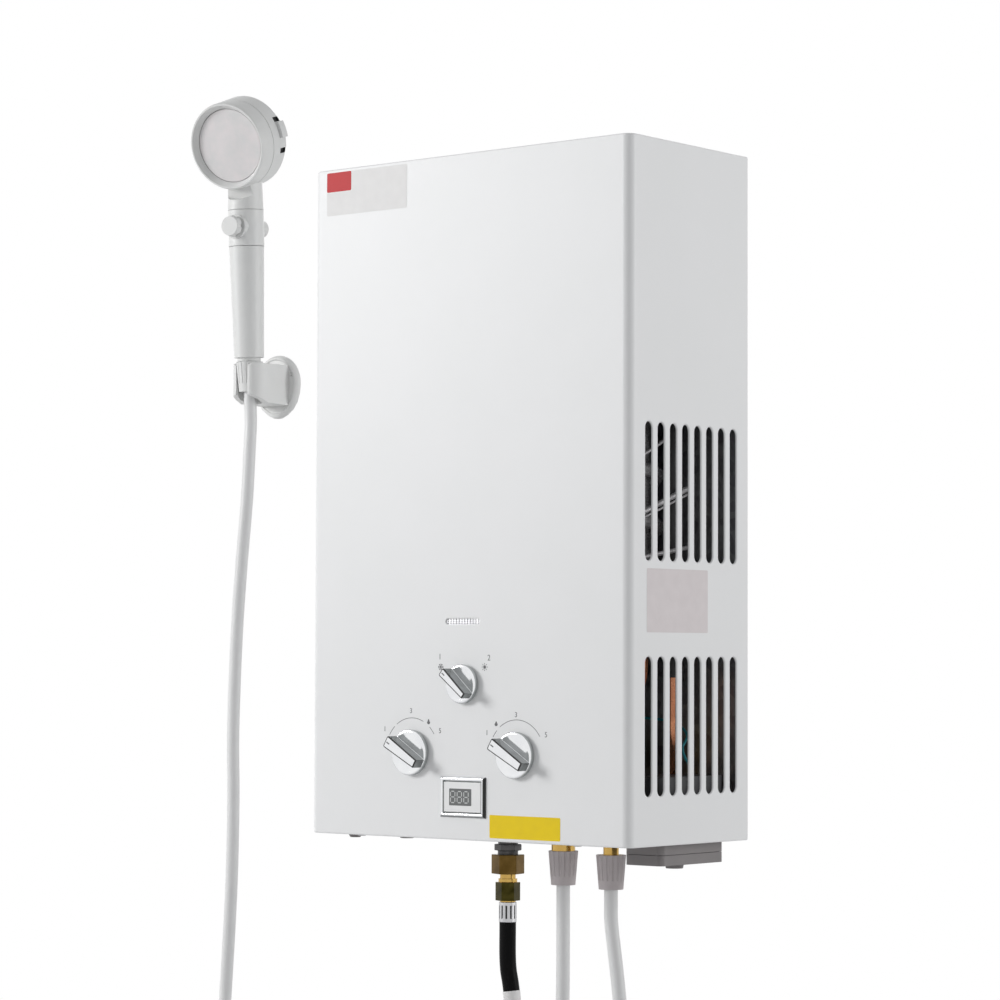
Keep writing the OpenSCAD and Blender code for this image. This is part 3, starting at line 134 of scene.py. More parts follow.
def showWhite(tree, shader):
    # camera, glossy and transmission rays see plain white instead of the shader
    rays = tree.nodes.new("ShaderNodeLightPath").outputs
    seen = addMath(tree, "ADD", rays["Is Camera Ray"], rays["Is Glossy Ray"])
    seen = addMath(tree, "ADD", seen, rays["Is Transmission Ray"], clamp=True)
    kind = "Background" if shader.bl_idname == "ShaderNodeBackground" else "Emission"
    white = addNode(tree, "ShaderNode" + kind, Color=(1, 1, 1, 1))
    mix = tree.nodes.new("ShaderNodeMixShader")
    for source, socket in zip((seen, shader.outputs[0], white.outputs[0]), mix.inputs):
        tree.links.new(source, socket)
    return mix


def setStudio():
    world = bpy.data.worlds.new("studioAir")
    bpy.context.scene.world = world
    world.use_nodes = True
    tree = world.node_tree
    air = tree.nodes["Background"]
    air.inputs["Color"].default_value = studio["ambient"]
    air.inputs["Strength"].default_value = studio["ambientStrength"]
    tree.links.new(showWhite(tree, air).outputs[0], tree.nodes["World Output"].inputs[0])
    for name, place, aim, size, watts in studio["lamps"]:
        bpy.ops.object.light_add(type="AREA", location=place)
        lamp = bpy.context.object
        lamp.name = name
        lamp.data.shape = "DISK"
        lamp.data.size = size
        lamp.data.energy = watts
        lamp.rotation_mode = "QUATERNION"
        lamp.rotation_quaternion = (Vector(aim) - Vector(place)).to_track_quat("-Z", "Y")
    bpy.context.scene.view_settings.view_transform = "Standard"


def layFloor():
    bpy.ops.mesh.primitive_circle_add(vertices=studio["floorSides"], radius=studio["floorRadius"],
                                      fill_type="NGON", location=(0, 0, studio["floorZ"]))
    floor = bpy.context.object
    floor.name = "studioFloor"
    paint, tree, shader = newPaint("floorPaper")
    shader.inputs["Base Color"].default_value = studio["floorColour"]
    shader.inputs["Roughness"].default_value = studio["floorRoughness"]
    mix = showWhite(tree, shader)
    near, far = studio["floorFade"]
    reach = tree.nodes.new("ShaderNodeVectorMath")
    reach.operation = "LENGTH"
    fade = addNode(tree, "ShaderNodeMapRange", **{"From Min": near, "From Max": far})
    tree.links.new(tree.nodes.new("ShaderNodeTexCoord").outputs["Object"], reach.inputs[0])
    tree.links.new(reach.outputs["Value"], fade.inputs["Value"])
    seen = mix.inputs[0].links[0].from_socket
    tree.links.new(addMath(tree, "MULTIPLY", seen, fade.outputs[0]), mix.inputs[0])
    tree.links.new(mix.outputs[0], tree.nodes["Material Output"].inputs[0])
    floor.data.materials.append(paint)


setStudio()
layFloor()
print("studio set")

# colour and tint alternate in patches, grain is the size of the fine relief and relief its depth,
# and round softens the edges
finishLooks = {
    # name: colour, tint, patch, grain, relief, roughness from and to, round, and what only some have
    "white_enamel": ((0.8, 0.8, 0.805), (0.785, 0.788, 0.79), 90, 1.6, 0.012, (0.38, 0.46), 0.5,
        {"specular": 0.45}),
    "galvanised": ((0.36, 0.37, 0.38), (0.27, 0.28, 0.29), 9, 5, 0.02, (0.34, 0.5), 0.5,
        {"cells": True, "metal": 0.8}),
    "steel": ((0.56, 0.56, 0.57), (0.47, 0.47, 0.49), 14, 0.8, 0.01, (0.25, 0.42), 0.4,
        {"stretch": 14, "metal": 1.0}),
    "bright_chrome": ((0.83, 0.84, 0.85), (0.78, 0.79, 0.81), 12, 3, 0.004, (0.06, 0.12), 0.5,
        {"metal": 1.0}),
    "copper": ((0.76, 0.34, 0.19), (0.56, 0.22, 0.12), 18, 1.2, 0.015, (0.24, 0.42), 0.4, {"metal": 1.0}),
    "brass": ((0.58, 0.38, 0.11), (0.5, 0.32, 0.09), 11, 0.7, 0.004, (0.14, 0.24), 0.4, {"metal": 1.0}),
    "cast_alloy": ((0.5, 0.51, 0.52), (0.42, 0.43, 0.44), 16, 0.9, 0.05, (0.42, 0.6), 0.9, {"metal": 1.0}),
    "dark_zinc": ((0.105, 0.1, 0.1), (0.08, 0.078, 0.078), 10, 0.8, 0.02, (0.36, 0.5), 0.4, {"metal": 0.7}),
    "white_plastic": ((0.71, 0.71, 0.7), (0.69, 0.695, 0.69), 40, 0.9, 0.004, (0.4, 0.5), 0.5, {}),
    "matt_white_plastic": ((0.5, 0.455, 0.46), (0.46, 0.415, 0.42), 14, 0.5, 0.012, (0.48, 0.6), 0.4, {}),
    "grey_plastic": ((0.185, 0.17, 0.17), (0.165, 0.152, 0.152), 25, 0.6, 0.02, (0.38, 0.5), 0.5, {}),
    "dark_plastic": ((0.055, 0.055, 0.06), (0.04, 0.04, 0.043), 20, 0.6, 0.02, (0.42, 0.55), 0.6, {}),
    "battery_jacket": ((0.12, 0.16, 0.24), (0.09, 0.12, 0.19), 15, 1.5, 0.01, (0.25, 0.38), 0.8,
        {"metal": 0.5}),
    "ceramic": ((0.84, 0.82, 0.76), (0.76, 0.73, 0.66), 5, 0.8, 0.01, (0.2, 0.32), 0.4, {"coat": 0.4}),
    "wire_jacket": ((0.04, 0.36, 0.42), (0.03, 0.29, 0.35), 12, 1.0, 0.01, (0.38, 0.5), 0.3, {}),
    "spray_face": ((0.74, 0.7, 0.705), (0.66, 0.655, 0.655), 13, 0.9, 0.003, (0.3, 0.38), 0, {}),
    "white_hose": ((0.72, 0.72, 0.72), (0.7, 0.7, 0.7), 30, 1.1, 0.008, (0.34, 0.44), 0, {}),
    "black_rubber": ((0.0035, 0.0035, 0.0037), (0.006, 0.006, 0.0062), 22, 0.7, 0.02, (0.3, 0.42), 0,
        {"specular": 0.05}),
    "printInk": ((0.1, 0.1, 0.105), (0.13, 0.13, 0.135), 6, 0.4, 0.003, (0.5, 0.6), 0, {}),
    "ghostInk": ((0.6, 0.61, 0.61), (0.55, 0.56, 0.56), 5, 0.4, 0.001, (0.2, 0.25), 0, {}),
    "greyGlass": ((0.145, 0.15, 0.15), (0.13, 0.135, 0.135), 9, 0.6, 0.001, (0.16, 0.22), 0, {}),
    "displayWhite": ((0.82, 0.82, 0.82), (0.79, 0.79, 0.79), 12, 0.5, 0.004, (0.3, 0.4), 0, {}),
    "palePaper": ((0.74, 0.73, 0.725), (0.71, 0.7, 0.695), 10, 0.35, 0.008, (0.45, 0.6), 0, {}),
    "redPaper": ((0.56, 0.04, 0.045), (0.52, 0.038, 0.042), 10, 0.35, 0.008, (0.4, 0.55), 0,
        {"specular": 0.15}),
    "yellowPaper": ((0.84, 0.615, 0.012), (0.8, 0.58, 0.014), 10, 0.35, 0.008, (0.4, 0.55), 0,
        {"specular": 0.15}),
    "greyPaper": ((0.68, 0.63, 0.635), (0.65, 0.6, 0.605), 10, 0.35, 0.008, (0.45, 0.6), 0, {}),
    # painted shade: a darker chrome for the sides of knobs and bezel turned away from the light
    "paintedShadeChrome": ((0.3, 0.315, 0.315), (0.2, 0.21, 0.21), 9, 3, 0.003, (0.1, 0.18), 0, {"metal": 1.0}),
    # painted shade: near black, for dark lines along chrome edges and in the sleeve's grooves
    "paintedDarkShade": ((0.016, 0.017, 0.017), (0.028, 0.028, 0.028), 8, 2, 0.002, (0.3, 0.4), 0,
        {"specular": 0.3}),
    # painted dark reflections: much darker copies of brass for the union nut and the hose tail's hexagon
    "nutBrass": ((0.085, 0.05, 0.012), (0.15, 0.092, 0.028), 13, 0.8, 0.004, (0.16, 0.26), 0.5,
        {"metal": 1.0}),
    "hexPaintedReflection": ((0.02, 0.017, 0.003), (0.06, 0.05, 0.012), 9, 0.8, 0.004, (0.12, 0.2), 0.5,
        {"metal": 1.0}),
    "tinnedCopper": ((0.8, 0.79, 0.8), (0.34, 0.33, 0.34), 16, 1.2, 0.01, (0.2, 0.34), 0, {"metal": 0.35}),
    # black lacquer for the coil ties, also used as painted shade in the lever's slot and on the hot pipe's
    # sleeve
    "blackLacquerAndPaintedShade": ((0.022, 0.022, 0.023), (0.03, 0.03, 0.031), 22, 0.9, 0.01, (0.5, 0.6), 0, {}),
    # painted shade: mid grey chrome for the rims of the knob discs
    "paintedRimShade": ((0.52, 0.54, 0.54), (0.44, 0.46, 0.46), 12, 3, 0.003, (0.12, 0.2), 0, {"metal": 1.0}),
}
sockets = {"metal": "Metallic", "coat": "Coat Weight", "specular": "Specular IOR Level"}
noises = {"middle": (0.3, 0.7), "patchDetail": 4.0, "grainDetail": 3.0, "roundSamples": 4}
finishes = {}


def spreadOut(tree, noise, low=0.0, high=1.0):
    # the middle part of a noise's values, spread from low to high
    least, most = noises["middle"]
    span = addNode(tree, "ShaderNodeMapRange", **{"From Min": least, "From Max": most, "To Min": low,
                                                  "To Max": high})
    tree.links.new(noise, span.inputs["Value"])
    return span.outputs[0]


def newFinish(name, look):
    paint, tree, shader = newPaint(name)
    colour, tint, patchSize, grainSize, relief, rough, corner, more = look
    place = tree.nodes.new("ShaderNodeTexCoord").outputs["Object"]
    grainPlace = place
    if "stretch" in more:  # brushed along z
        brush = addNode(tree, "ShaderNodeMapping", Scale=(1, 1, 1 / more["stretch"]))
        tree.links.new(place, brush.inputs["Vector"])
        grainPlace = brush.outputs["Vector"]
    size = 1 / (patchSize * mm)
    if "cells" in more:  # the spangle of a zinc coat
        patches = addNode(tree, "ShaderNodeTexVoronoi", Scale=size)
        patchValue = patches.outputs["Color"]
    else:
        patches = addNode(tree, "ShaderNodeTexNoise", Scale=size, Detail=noises["patchDetail"])
        patchValue = patches.outputs["Fac"]
    tree.links.new(place, patches.inputs["Vector"])
    mix = tree.nodes.new("ShaderNodeMix")
    mix.data_type = "RGBA"
    tree.links.new(spreadOut(tree, patchValue), mix.inputs["Factor"])
    mix.inputs["A"].default_value = (*colour, 1)
    mix.inputs["B"].default_value = (*tint, 1)
    tree.links.new(mix.outputs["Result"], shader.inputs["Base Color"])
    grain = addNode(tree, "ShaderNodeTexNoise", Scale=1 / (grainSize * mm), Detail=noises["grainDetail"])
    tree.links.new(grainPlace, grain.inputs["Vector"])
    tree.links.new(spreadOut(tree, grain.outputs["Fac"], *rough), shader.inputs["Roughness"])
    bump = addNode(tree, "ShaderNodeBump", Strength=1.0, Distance=relief * mm)
    tree.links.new(grain.outputs["Fac"], bump.inputs["Height"])
    tree.links.new(bump.outputs[0], shader.inputs["Normal"])
    if corner:
        soft = addNode(tree, "ShaderNodeBevel", Radius=corner * mm)
        soft.samples = noises["roundSamples"]
        tree.links.new(soft.outputs[0], bump.inputs["Normal"])
    for key, socket in sockets.items():
        if key in more:
            shader.inputs[socket].default_value = more[key]
    finishes[name] = paint


# pieces inside the casing whose surface differs from the rest of their material
tinned = ("jacket_coil", "exchanger_tubes", "fin_block", "combustion_chamber")
innerLooks = {"igniter_box": "dark_plastic", **dict.fromkeys(tinned, "tinnedCopper")}
slotOf = {part["node"]: part["material_slot"] for part in frame["record"]["subparts"]}


def paintNodes():
    for name, look in finishLooks.items():
        newFinish(name, look)
    for node, slot in slotOf.items():
        mesh = nodes[node].data
        mesh.materials.clear()
        mesh.materials.append(finishes[innerLooks.get(node, slot)])


paintNodes()
print("finishes made:", len(finishes))

# ways of working that the pieces share
fineWeld, sheetWeld, flatAngle = 0.002, 0.02, 1.0


def clearPick():
    if bpy.context.object and bpy.context.object.mode != "OBJECT":
        bpy.ops.object.mode_set(mode="OBJECT")
    bpy.ops.object.select_all(action="DESELECT")


def hold(*pieces):
    clearPick()
    for piece in pieces:
        piece.select_set(True)
    bpy.context.view_layer.objects.active = pieces[0]


def pick(piece, kind, test=lambda part: True):
    # leaves edit mode on, with only the vertices, edges or faces selected that pass the test
    hold(piece)
    bpy.ops.object.mode_set(mode="EDIT")
    bpy.ops.mesh.select_mode(type=kind)
    bpy.ops.mesh.select_all(action="DESELECT")
    bpy.ops.object.mode_set(mode="OBJECT")
    mesh = piece.data
    for part in {"VERT": mesh.vertices, "EDGE": mesh.edges, "FACE": mesh.polygons}[kind]:
        part.select = test(part)
    bpy.ops.object.mode_set(mode="EDIT")


def pickEdges(piece, test):
    spots = [v.co.copy() for v in piece.data.vertices]
    pick(piece, "EDGE", lambda e: all(test(spots[v]) for v in e.vertices))


def leaveEdit():
    bpy.ops.object.mode_set(mode="OBJECT")


def cutFaces(piece, test):
    pick(piece, "FACE", test)
    bpy.ops.mesh.delete(type="FACE")
    leaveEdit()


def copyOf(piece, name, move=(0, 0, 0)):
    twin = piece.copy()
    twin.data = piece.data.copy()
    twin.name = name
    bpy.context.collection.objects.link(twin)
    twin.location = Vector(move)
    return twin


def settle(piece, place=None):
    # the place goes into the mesh, and the object stays at the origin
    if place is not None:
        piece.matrix_world = place @ piece.matrix_world
    hold(piece)
    bpy.ops.object.transform_apply(location=True, rotation=True, scale=True)
    return piece


def joined(name, *pieces):
    hold(*pieces)
    bpy.ops.object.join()
    whole = bpy.context.object
    whole.name = name
    whole.data.name = name
    return whole


def cleaned(piece, gap=0.01):
    pick(piece, "FACE")
    bpy.ops.mesh.remove_doubles(threshold=gap * mm)
    bpy.ops.mesh.normals_make_consistent(inside=False)
    leaveEdit()
    return piece


def withStep(piece, kind, **values):
    hold(piece)
    step = piece.modifiers.new(kind.lower(), kind)
    for key, value in values.items():
        setattr(step, key, value)
    bpy.ops.object.modifier_apply(modifier=step.name)
    return piece


def bevelled(piece, width, segments=2, degrees=35):
    return withStep(piece, "BEVEL", width=width * mm, segments=segments, limit_method="ANGLE",
                    angle_limit=math.radians(degrees))


def smoothed(piece, degrees=32):
    hold(piece)
    bpy.ops.object.shade_smooth_by_angle(angle=math.radians(degrees))
    return withStep(piece, "WEIGHTED_NORMAL", keep_sharp=True)


def softened(piece, width):
    return smoothed(bevelled(piece, width))


def roundCorners(slab, corner, steps):
    levels = [v.co.z for v in slab.data.vertices]
    pick(slab, "EDGE", lambda e: abs(levels[e.vertices[0]] - levels[e.vertices[1]]) > tiny)
    bpy.ops.mesh.bevel(offset=corner * mm, segments=steps, affect="EDGES")
    leaveEdit()


def circle(name, radius, sides, filled=True, **place):
    # the radius is in metres here
    clearPick()
    fill = "NGON" if filled else "NOTHING"
    bpy.ops.mesh.primitive_circle_add(vertices=sides, radius=radius, fill_type=fill, **place)
    bpy.context.object.name = name
    return bpy.context.object


def stepOut(extrude, sections):
    # extrudes what is picked from section to section: half width, half height, level
    for (w0, h0, z0), (w1, h1, z1) in zip(sections, sections[1:]):
        extrude(TRANSFORM_OT_translate={"value": (0, 0, (z1 - z0) * mm)})
        bpy.ops.transform.resize(value=(w1 / w0, h1 / h0, 1), center_override=(0, 0, z1 * mm))
    leaveEdit()


def stacked(name, sections, sides=4):
    if sides == 4:
        clearPick()
        bpy.ops.mesh.primitive_plane_add(size=2)
        piece = bpy.context.object
        piece.name = name
    else:
        piece = circle(name, 1, sides)
    wide, high, level = sections[0]
    piece.scale = (wide * mm, high * mm, 1)
    piece.location = (0, 0, level * mm)
    settle(piece)
    pick(piece, "FACE")
    stepOut(bpy.ops.mesh.extrude_region_move, sections)
    return cleaned(piece, fineWeld)


def turned(name, profile, sides=64):
    return stacked(name, [(r, r, z) for r, z in profile], sides)


def outlined(name, points, low=0, high=None):
    # a flat outline of (x, y) at the low level, or a prism from there up to the high one
    piece = circle(name, mm, len(points))
    for corner, (x, y) in zip(piece.data.vertices, points):
        corner.co = at(x, y, low)
    if high is None:
        return piece
    pick(piece, "FACE")
    bpy.ops.mesh.extrude_region_move(TRANSFORM_OT_translate={"value": (0, 0, (high - low) * mm)})
    leaveEdit()
    return cleaned(piece, fineWeld)


def cornersOf(low, high):
    return [(low[0], low[1]), (high[0], low[1]), (high[0], high[1]), (low[0], high[1])]


def frameOf(xAxis, yAxis, zAxis, origin=(0, 0, 0)):
    turn = Matrix([Vector(c) for c in (xAxis, yAxis, zAxis)]).transposed().to_4x4()
    return Matrix.Translation(at(*origin)) @ turn


def onFront(x, z, angle=0):
    # local x and y lie on the front panel, turned by an angle, and local z comes towards the user
    c, s = math.cos(math.radians(angle)), math.sin(math.radians(angle))
    return frameOf((c, 0, s), (-s, 0, c), (0, -1, 0), (x, 0, z))


def fromNode(name, node):
    # a merged copy of a CAD node, which can be bevelled
    piece = nodes[node].copy()
    piece.data = nodes[node].data.copy()
    piece.name = name
    piece.data.name = name
    for key in list(piece.keys()):
        del piece[key]
    place = nodes[node].matrix_world.copy()
    piece.parent = None
    piece.matrix_world = place
    bpy.context.collection.objects.link(piece)
    settle(piece)
    pick(piece, "FACE")
    bpy.ops.mesh.remove_doubles(threshold=sheetWeld * mm)
    bpy.ops.mesh.dissolve_limited(angle_limit=math.radians(flatAngle))
    leaveEdit()
    return piece


def dress(piece, finish, body="heater", replaced=()):
    piece.data.materials.clear()
    piece.data.materials.append(finishes[finish])
    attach(piece, body)
    if replaced:
        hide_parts(*replaced)
    return piece


def repaint(piece, finish, test, place=None):
    # a second finish on the faces that pass the test, which reads them in the piece's own axes
    back = (place or Matrix()).inverted()
    piece.data.materials.append(finishes[finish])
    last = len(piece.data.materials) - 1
    for face in piece.data.polygons:
        if test(back @ face.center / mm, (back.to_3x3() @ face.normal).normalized()):
            face.material_index = last


cover = {
    "halfWidth": 177.5, "depth": 168, "height": 590, "sheet": 0.8,
    "bend": 8, "bendSteps": 10,
    "edge": 1.4, "edgeSteps": 4,  # rounding into the lips
    "lip": 10,
    "slot": {"width": 9.6, "length": 115.5, "roll": 1.5, "reach": 0.15},  # roll is the edge's radius
    "slots": 8, "slotPitch": 17.25, "slotRear": 20.9, "slotFeet": (41.3, 236.4),
    "slotSides": 24, "rollSteps": 5,
    "sight": {"width": 5.2, "length": 38, "roll": 0.8, "reach": 0.4},
    "sightPlace": (-1.7, 186.5),
    "hubHoles": [(-58.3, 73.5, 9), (58.3, 73.5, 9), (0, 133, 7.5)],  # x, z, radius
    "hubSides": 40,
    "display": (0, 36.6, 44.5, 28.8),  # x, z, width, height
}


def quarterTurn(steps):
    return [k * math.pi / (2 * steps) for k in range(steps + 1)]


def rectangle(name, low, high):
    clearPick()
    bpy.ops.mesh.primitive_plane_add(size=1)
    outline = bpy.context.object
    outline.name = name
    outline.location = ((low[0] + high[0]) / 2 * mm, (low[1] + high[1]) / 2 * mm, 0)
    outline.scale = ((high[0] - low[0]) * mm, (high[1] - low[1]) * mm, 1)
    settle(outline)
    pick(outline, "FACE")
    bpy.ops.mesh.delete(type="ONLY_FACE")
    leaveEdit()
    return outline


def rolledSlot(name, width, length, roll, reach):
    # a slot along local y whose edge rolls in towards local +z
    sides = cover["slotSides"]
    slot = circle(name, (width / 2 + roll) * mm, sides, filled=False, rotation=(0, 0, math.pi / sides))
    settle(slot)
    straight = (length - width) * mm
    pick(slot, "VERT", lambda v: v.co.y > tiny)
    bpy.ops.transform.translate(value=(0, straight, 0))
    bpy.ops.mesh.select_all(action="SELECT")
    bpy.ops.transform.translate(value=(0, -straight / 2, 0))
    pick(slot, "EDGE")
    steps = [(roll * (1 - math.sin(t)), roll * (1 - math.cos(t))) for t in quarterTurn(cover["rollSteps"])]
    steps.append((0, roll + reach))
    stepOut(bpy.ops.mesh.extrude_edges_move,
            [(width / 2 + out, length / 2 + out, deep) for out, deep in steps])
    return slot


def filledPanel(name, outline, holes):
    panel = joined(name, outline, *holes)
    pickEdges(panel, lambda p: abs(p.z) < tiny)
    bpy.ops.mesh.fill(use_beauty=True)
    leaveEdit()
    return panel


def sidePanel():
    # drawn flat with local x as the wall's y, then stood up on the right
    slot = rolledSlot("slotEdge", **cover["slot"])
    middles = [foot + cover["slot"]["length"] / 2 for foot in cover["slotFeet"]]
    holes = [settle(copyOf(slot, "slotHole", at(-cover["slotRear"] - i * cover["slotPitch"], z, 0)))
             for z in middles for i in range(cover["slots"])]
    bpy.data.objects.remove(slot)
    wide, bend, fold = cover["halfWidth"], cover["bend"], cover["bend"] - cover["depth"]
    outline = rectangle("sideEdge", (fold, cover["edge"]), (0, cover["height"] - cover["edge"]))
    panel = filledPanel("sidePanel", outline, holes)
    settle(panel, frameOf((0, 1, 0), (0, 0, 1), (-1, 0, 0), (wide, 0, 0)))
    pickEdges(panel, lambda p: abs(p.y - fold * mm) < tiny and abs(p.x - wide * mm) < tiny)
    bpy.ops.mesh.spin(steps=cover["bendSteps"], angle=math.pi / 2, axis=(0, 0, 1),
                      center=at(wide - bend, fold, 0))
    leaveEdit()
    return panel


def frontPanel():
    # drawn flat with local y as the height, and stood up facing the user
    x, z = cover["sightPlace"]
    sight = rolledSlot("sightEdge", **cover["sight"])
    sight.rotation_euler = (0, 0, math.pi / 2)
    sight.location = at(x, z, 0)
    holes = [settle(sight)]
    for x, z, radius in cover["hubHoles"]:
        hub = circle("hubEdge", radius * mm, cover["hubSides"], filled=False, location=at(x, z, 0))
        holes.append(settle(hub))
    x, z, width, height = cover["display"]
    holes.append(rectangle("displayEdge", (x - width / 2, z - height / 2), (x + width / 2, z + height / 2)))
    reach = cover["halfWidth"] - cover["bend"]
    outline = rectangle("frontEdge", (-reach, cover["edge"]), (reach, cover["height"] - cover["edge"]))
    panel = filledPanel("frontPanel", outline, holes)
    return settle(panel, frameOf((1, 0, 0), (0, 0, 1), (0, 1, 0), (0, -cover["depth"], 0)))


def foldLip(sheet, level, way):
    # rounds the top or bottom edge inwards and adds its lip
    edge = cover["edge"]
    start = level - way * edge
    pickEdges(sheet, lambda p: abs(p.z - start * mm) < tiny)
    turns = quarterTurn(cover["edgeSteps"])
    steps = [(edge * (1 - math.cos(t)), start + way * edge * math.sin(t)) for t in turns]
    steps.append((cover["lip"], level))
    stepOut(bpy.ops.mesh.extrude_edges_move,
            [(cover["halfWidth"] - inward, cover["depth"] - inward, z) for inward, z in steps])


def foldCover():
    right = sidePanel()
    left = copyOf(right, "sidePanelLeft")
    left.scale = (-1, 1, 1)
    settle(left)
    sheet = cleaned(joined("frontCover", frontPanel(), right, left), sheetWeld)
    foldLip(sheet, cover["height"], 1)
    foldLip(sheet, 0, -1)
    cleaned(sheet, sheetWeld)
    front = (1 - cover["depth"]) * mm
    outside = [f for f in sheet.data.polygons if abs(f.normal.y) > 0.99 and f.center.y < front]
    if outside and outside[0].normal.y > 0:  # an open sheet can come out facing inwards
        pick(sheet, "FACE")
        bpy.ops.mesh.flip_normals()
        leaveEdit()
    withStep(sheet, "SOLIDIFY", thickness=cover["sheet"] * mm, offset=-1.0)
    return smoothed(sheet, 40)


dress(foldCover(), "white_enamel", replaced=["front_cover"])
print("cover folded")

# nodes that keep their form and get soft edges, with the width of the bevel
softNodes = {
    "case_screws": 0.25, "blanking_plugs": 0.5, "gas_adapter": 0.8, "gas_union_nut": 1.1,
    "gas_hose_tail": 0.7, "gas_sleeve": 0.3, "hot_outlet": 0.4, "cone_nuts": 0.7, "battery_box": 1.4,
    "battery_lid": 1.8, "lid_knob": 0.8, "shower_grip": 0.6, "shower_valve": 0.5, "shower_head": 0.8,
    "stop_button": 0.7, "mode_lever": 0.7, "regulator": 1.0, "regulator_handwheel": 1.0, "tap_nut": 0.6,
    "tap_tail": 0.4,
}
topScrewRise = 0.25  # the upper screw heads keep this share of their height
boxShadeFrom = 1  # the battery box goes dark from here up, inside the casing
softPieces = {}


def pieceName(node):
    first, *rest = {"regulator": "regulator_body"}.get(node, node).split("_")
    return first + "".join(word.capitalize() for word in rest)


for node, width in softNodes.items():
    body = node if node in frame["bodies"] else "heater"  # a moving node's body has its name
    softPieces[node] = dress(softened(fromNode(pieceName(node), node), width), slotOf[node], body, [node])
for vertex in softPieces["case_screws"].data.vertices:
    if vertex.co.z > cover["height"] * mm:
        vertex.co.z = (cover["height"] + topScrewRise * (vertex.co.z / mm - cover["height"])) * mm
print("edges softened:", len(softPieces))
# painted shade: the battery box's faces inside the casing are painted dark
repaint(softPieces["battery_box"], "dark_plastic", lambda c, n: c.z > boxShadeFrom)

knobSizes = {
    "large": {"angle": 150, "radius": 19.75, "hub": 8, "tip": 11, "tail": 8},
    "small": {"angle": 140, "radius": 16.75, "hub": 6.5, "tip": 8.2, "tail": 5.6},
}
knobs = {
    "gas_knob": {"centre": (-58.3, 73.5), **knobSizes["large"]},
    "water_knob": {"centre": (58.3, 73.5), **knobSizes["large"]},
    "season_knob": {"centre": (0, 133), **knobSizes["small"]},
}
knobForm = {
    "levels": (160.6, 168.6, 173.6, 184.1),  # back of the hub, back, face, top of the grip
    "sides": 96,
    "hubCut": 0.4, "foot": (0.9, 0.8),
    "rim": [(0, 1.5), (0.35, 0.7), (1.1, 0.15), (2.0, 0), (3.0, 0.25), (6.0, 0.35)],  # inwards, down
    "gripRoot": 0.6,
    "gripEnds": (0.8, 1),  # left free at the tail, cut off the tip's corners
    "gripEdge": 1.0, "gripInset": 0.45,
    "mark": (5.6, 2.0, 0.55),  # inner end, outer end, half width
    "markLevels": (-0.05, 0.15), "markEdge": 0.08,
    # the next three set where the knob's painted shade lies: on the grip's sides, and as dark lines along the
    # grip's edges
    "sideShadeFrom": 0.2,  # above the face
    "edgeShadeDeep": (1.1, 0.05),  # below the top, on slanting faces and on flat ones
    "edgeShadeFrom": (2.4, 1.5),  # inwards from the rim, out from the middle
}


def knobPieces(node, knob):
    form, r, hub = knobForm, knob["radius"], knob["hub"]
    hubBack, back, face, top = form["levels"]
    place = onFront(*knob["centre"], knob["angle"])
    cut, (footIn, footUp) = form["hubCut"], form["foot"]
    rim = [(r - inward, face - down) for inward, down in form["rim"]]
    disc = turned("knobDisc", [(hub - cut, hubBack), (hub, hubBack + cut), (hub, back), (r - footIn, back),
                               (r, back + footUp), *rim], form["sides"])
    tip, tail = knob["tip"] / 2, knob["tail"] / 2
    gap, cut = form["gripEnds"]
    outline = [(gap - r, -tail), (r - cut, -tip), (r, cut - tip), (r, tip - cut), (r - cut, tip),
               (gap - r, tail)]
    grip = bevelled(outlined("knobGrip", outline, face - form["gripRoot"], top), form["gripEdge"], degrees=40)
    pick(grip, "FACE", lambda f: f.normal.z > 0.99 and f.center.z > (top - 0.01) * mm)
    bpy.ops.mesh.inset(thickness=form["gripInset"] * mm)
    leaveEdit()
    whole = smoothed(settle(joined(pieceName(node), disc, grip), place), 38)
    inner, outer, half = form["mark"]
    low, high = form["markLevels"]
    outline = cornersOf((r - inner, -half), (r - outer, half))
    mark = outlined(pieceName(node) + "Mark", outline, top + low, top + high)
    settle(bevelled(mark, form["markEdge"], 1), place)
    dress(whole, "bright_chrome", node, [node])
    (deep, shallow), (ends, flanks) = form["edgeShadeDeep"], form["edgeShadeFrom"]
    # painted shade: the grip's sides in darker chrome and the disc's rim in mid grey chrome
    repaint(whole, "paintedShadeChrome", lambda c, n: abs(n.z) < 0.5 and c.z > face + form["sideShadeFrom"], place)
    repaint(whole, "paintedRimShade", lambda c, n: abs(n.z) < 0.5 and c.z < face, place)
    # painted shade: dark lines along the edges of the grip
    repaint(whole, "paintedDarkShade", lambda c, n: 0.3 < n.z < 0.95 and c.z > top - deep, place)
    repaint(whole, "paintedDarkShade", lambda c, n: n.z > 0.95 and c.z > top - shallow
            and (abs(c.x) > r - ends or abs(c.y) > flanks), place)
    dress(mark, "printInk", node)


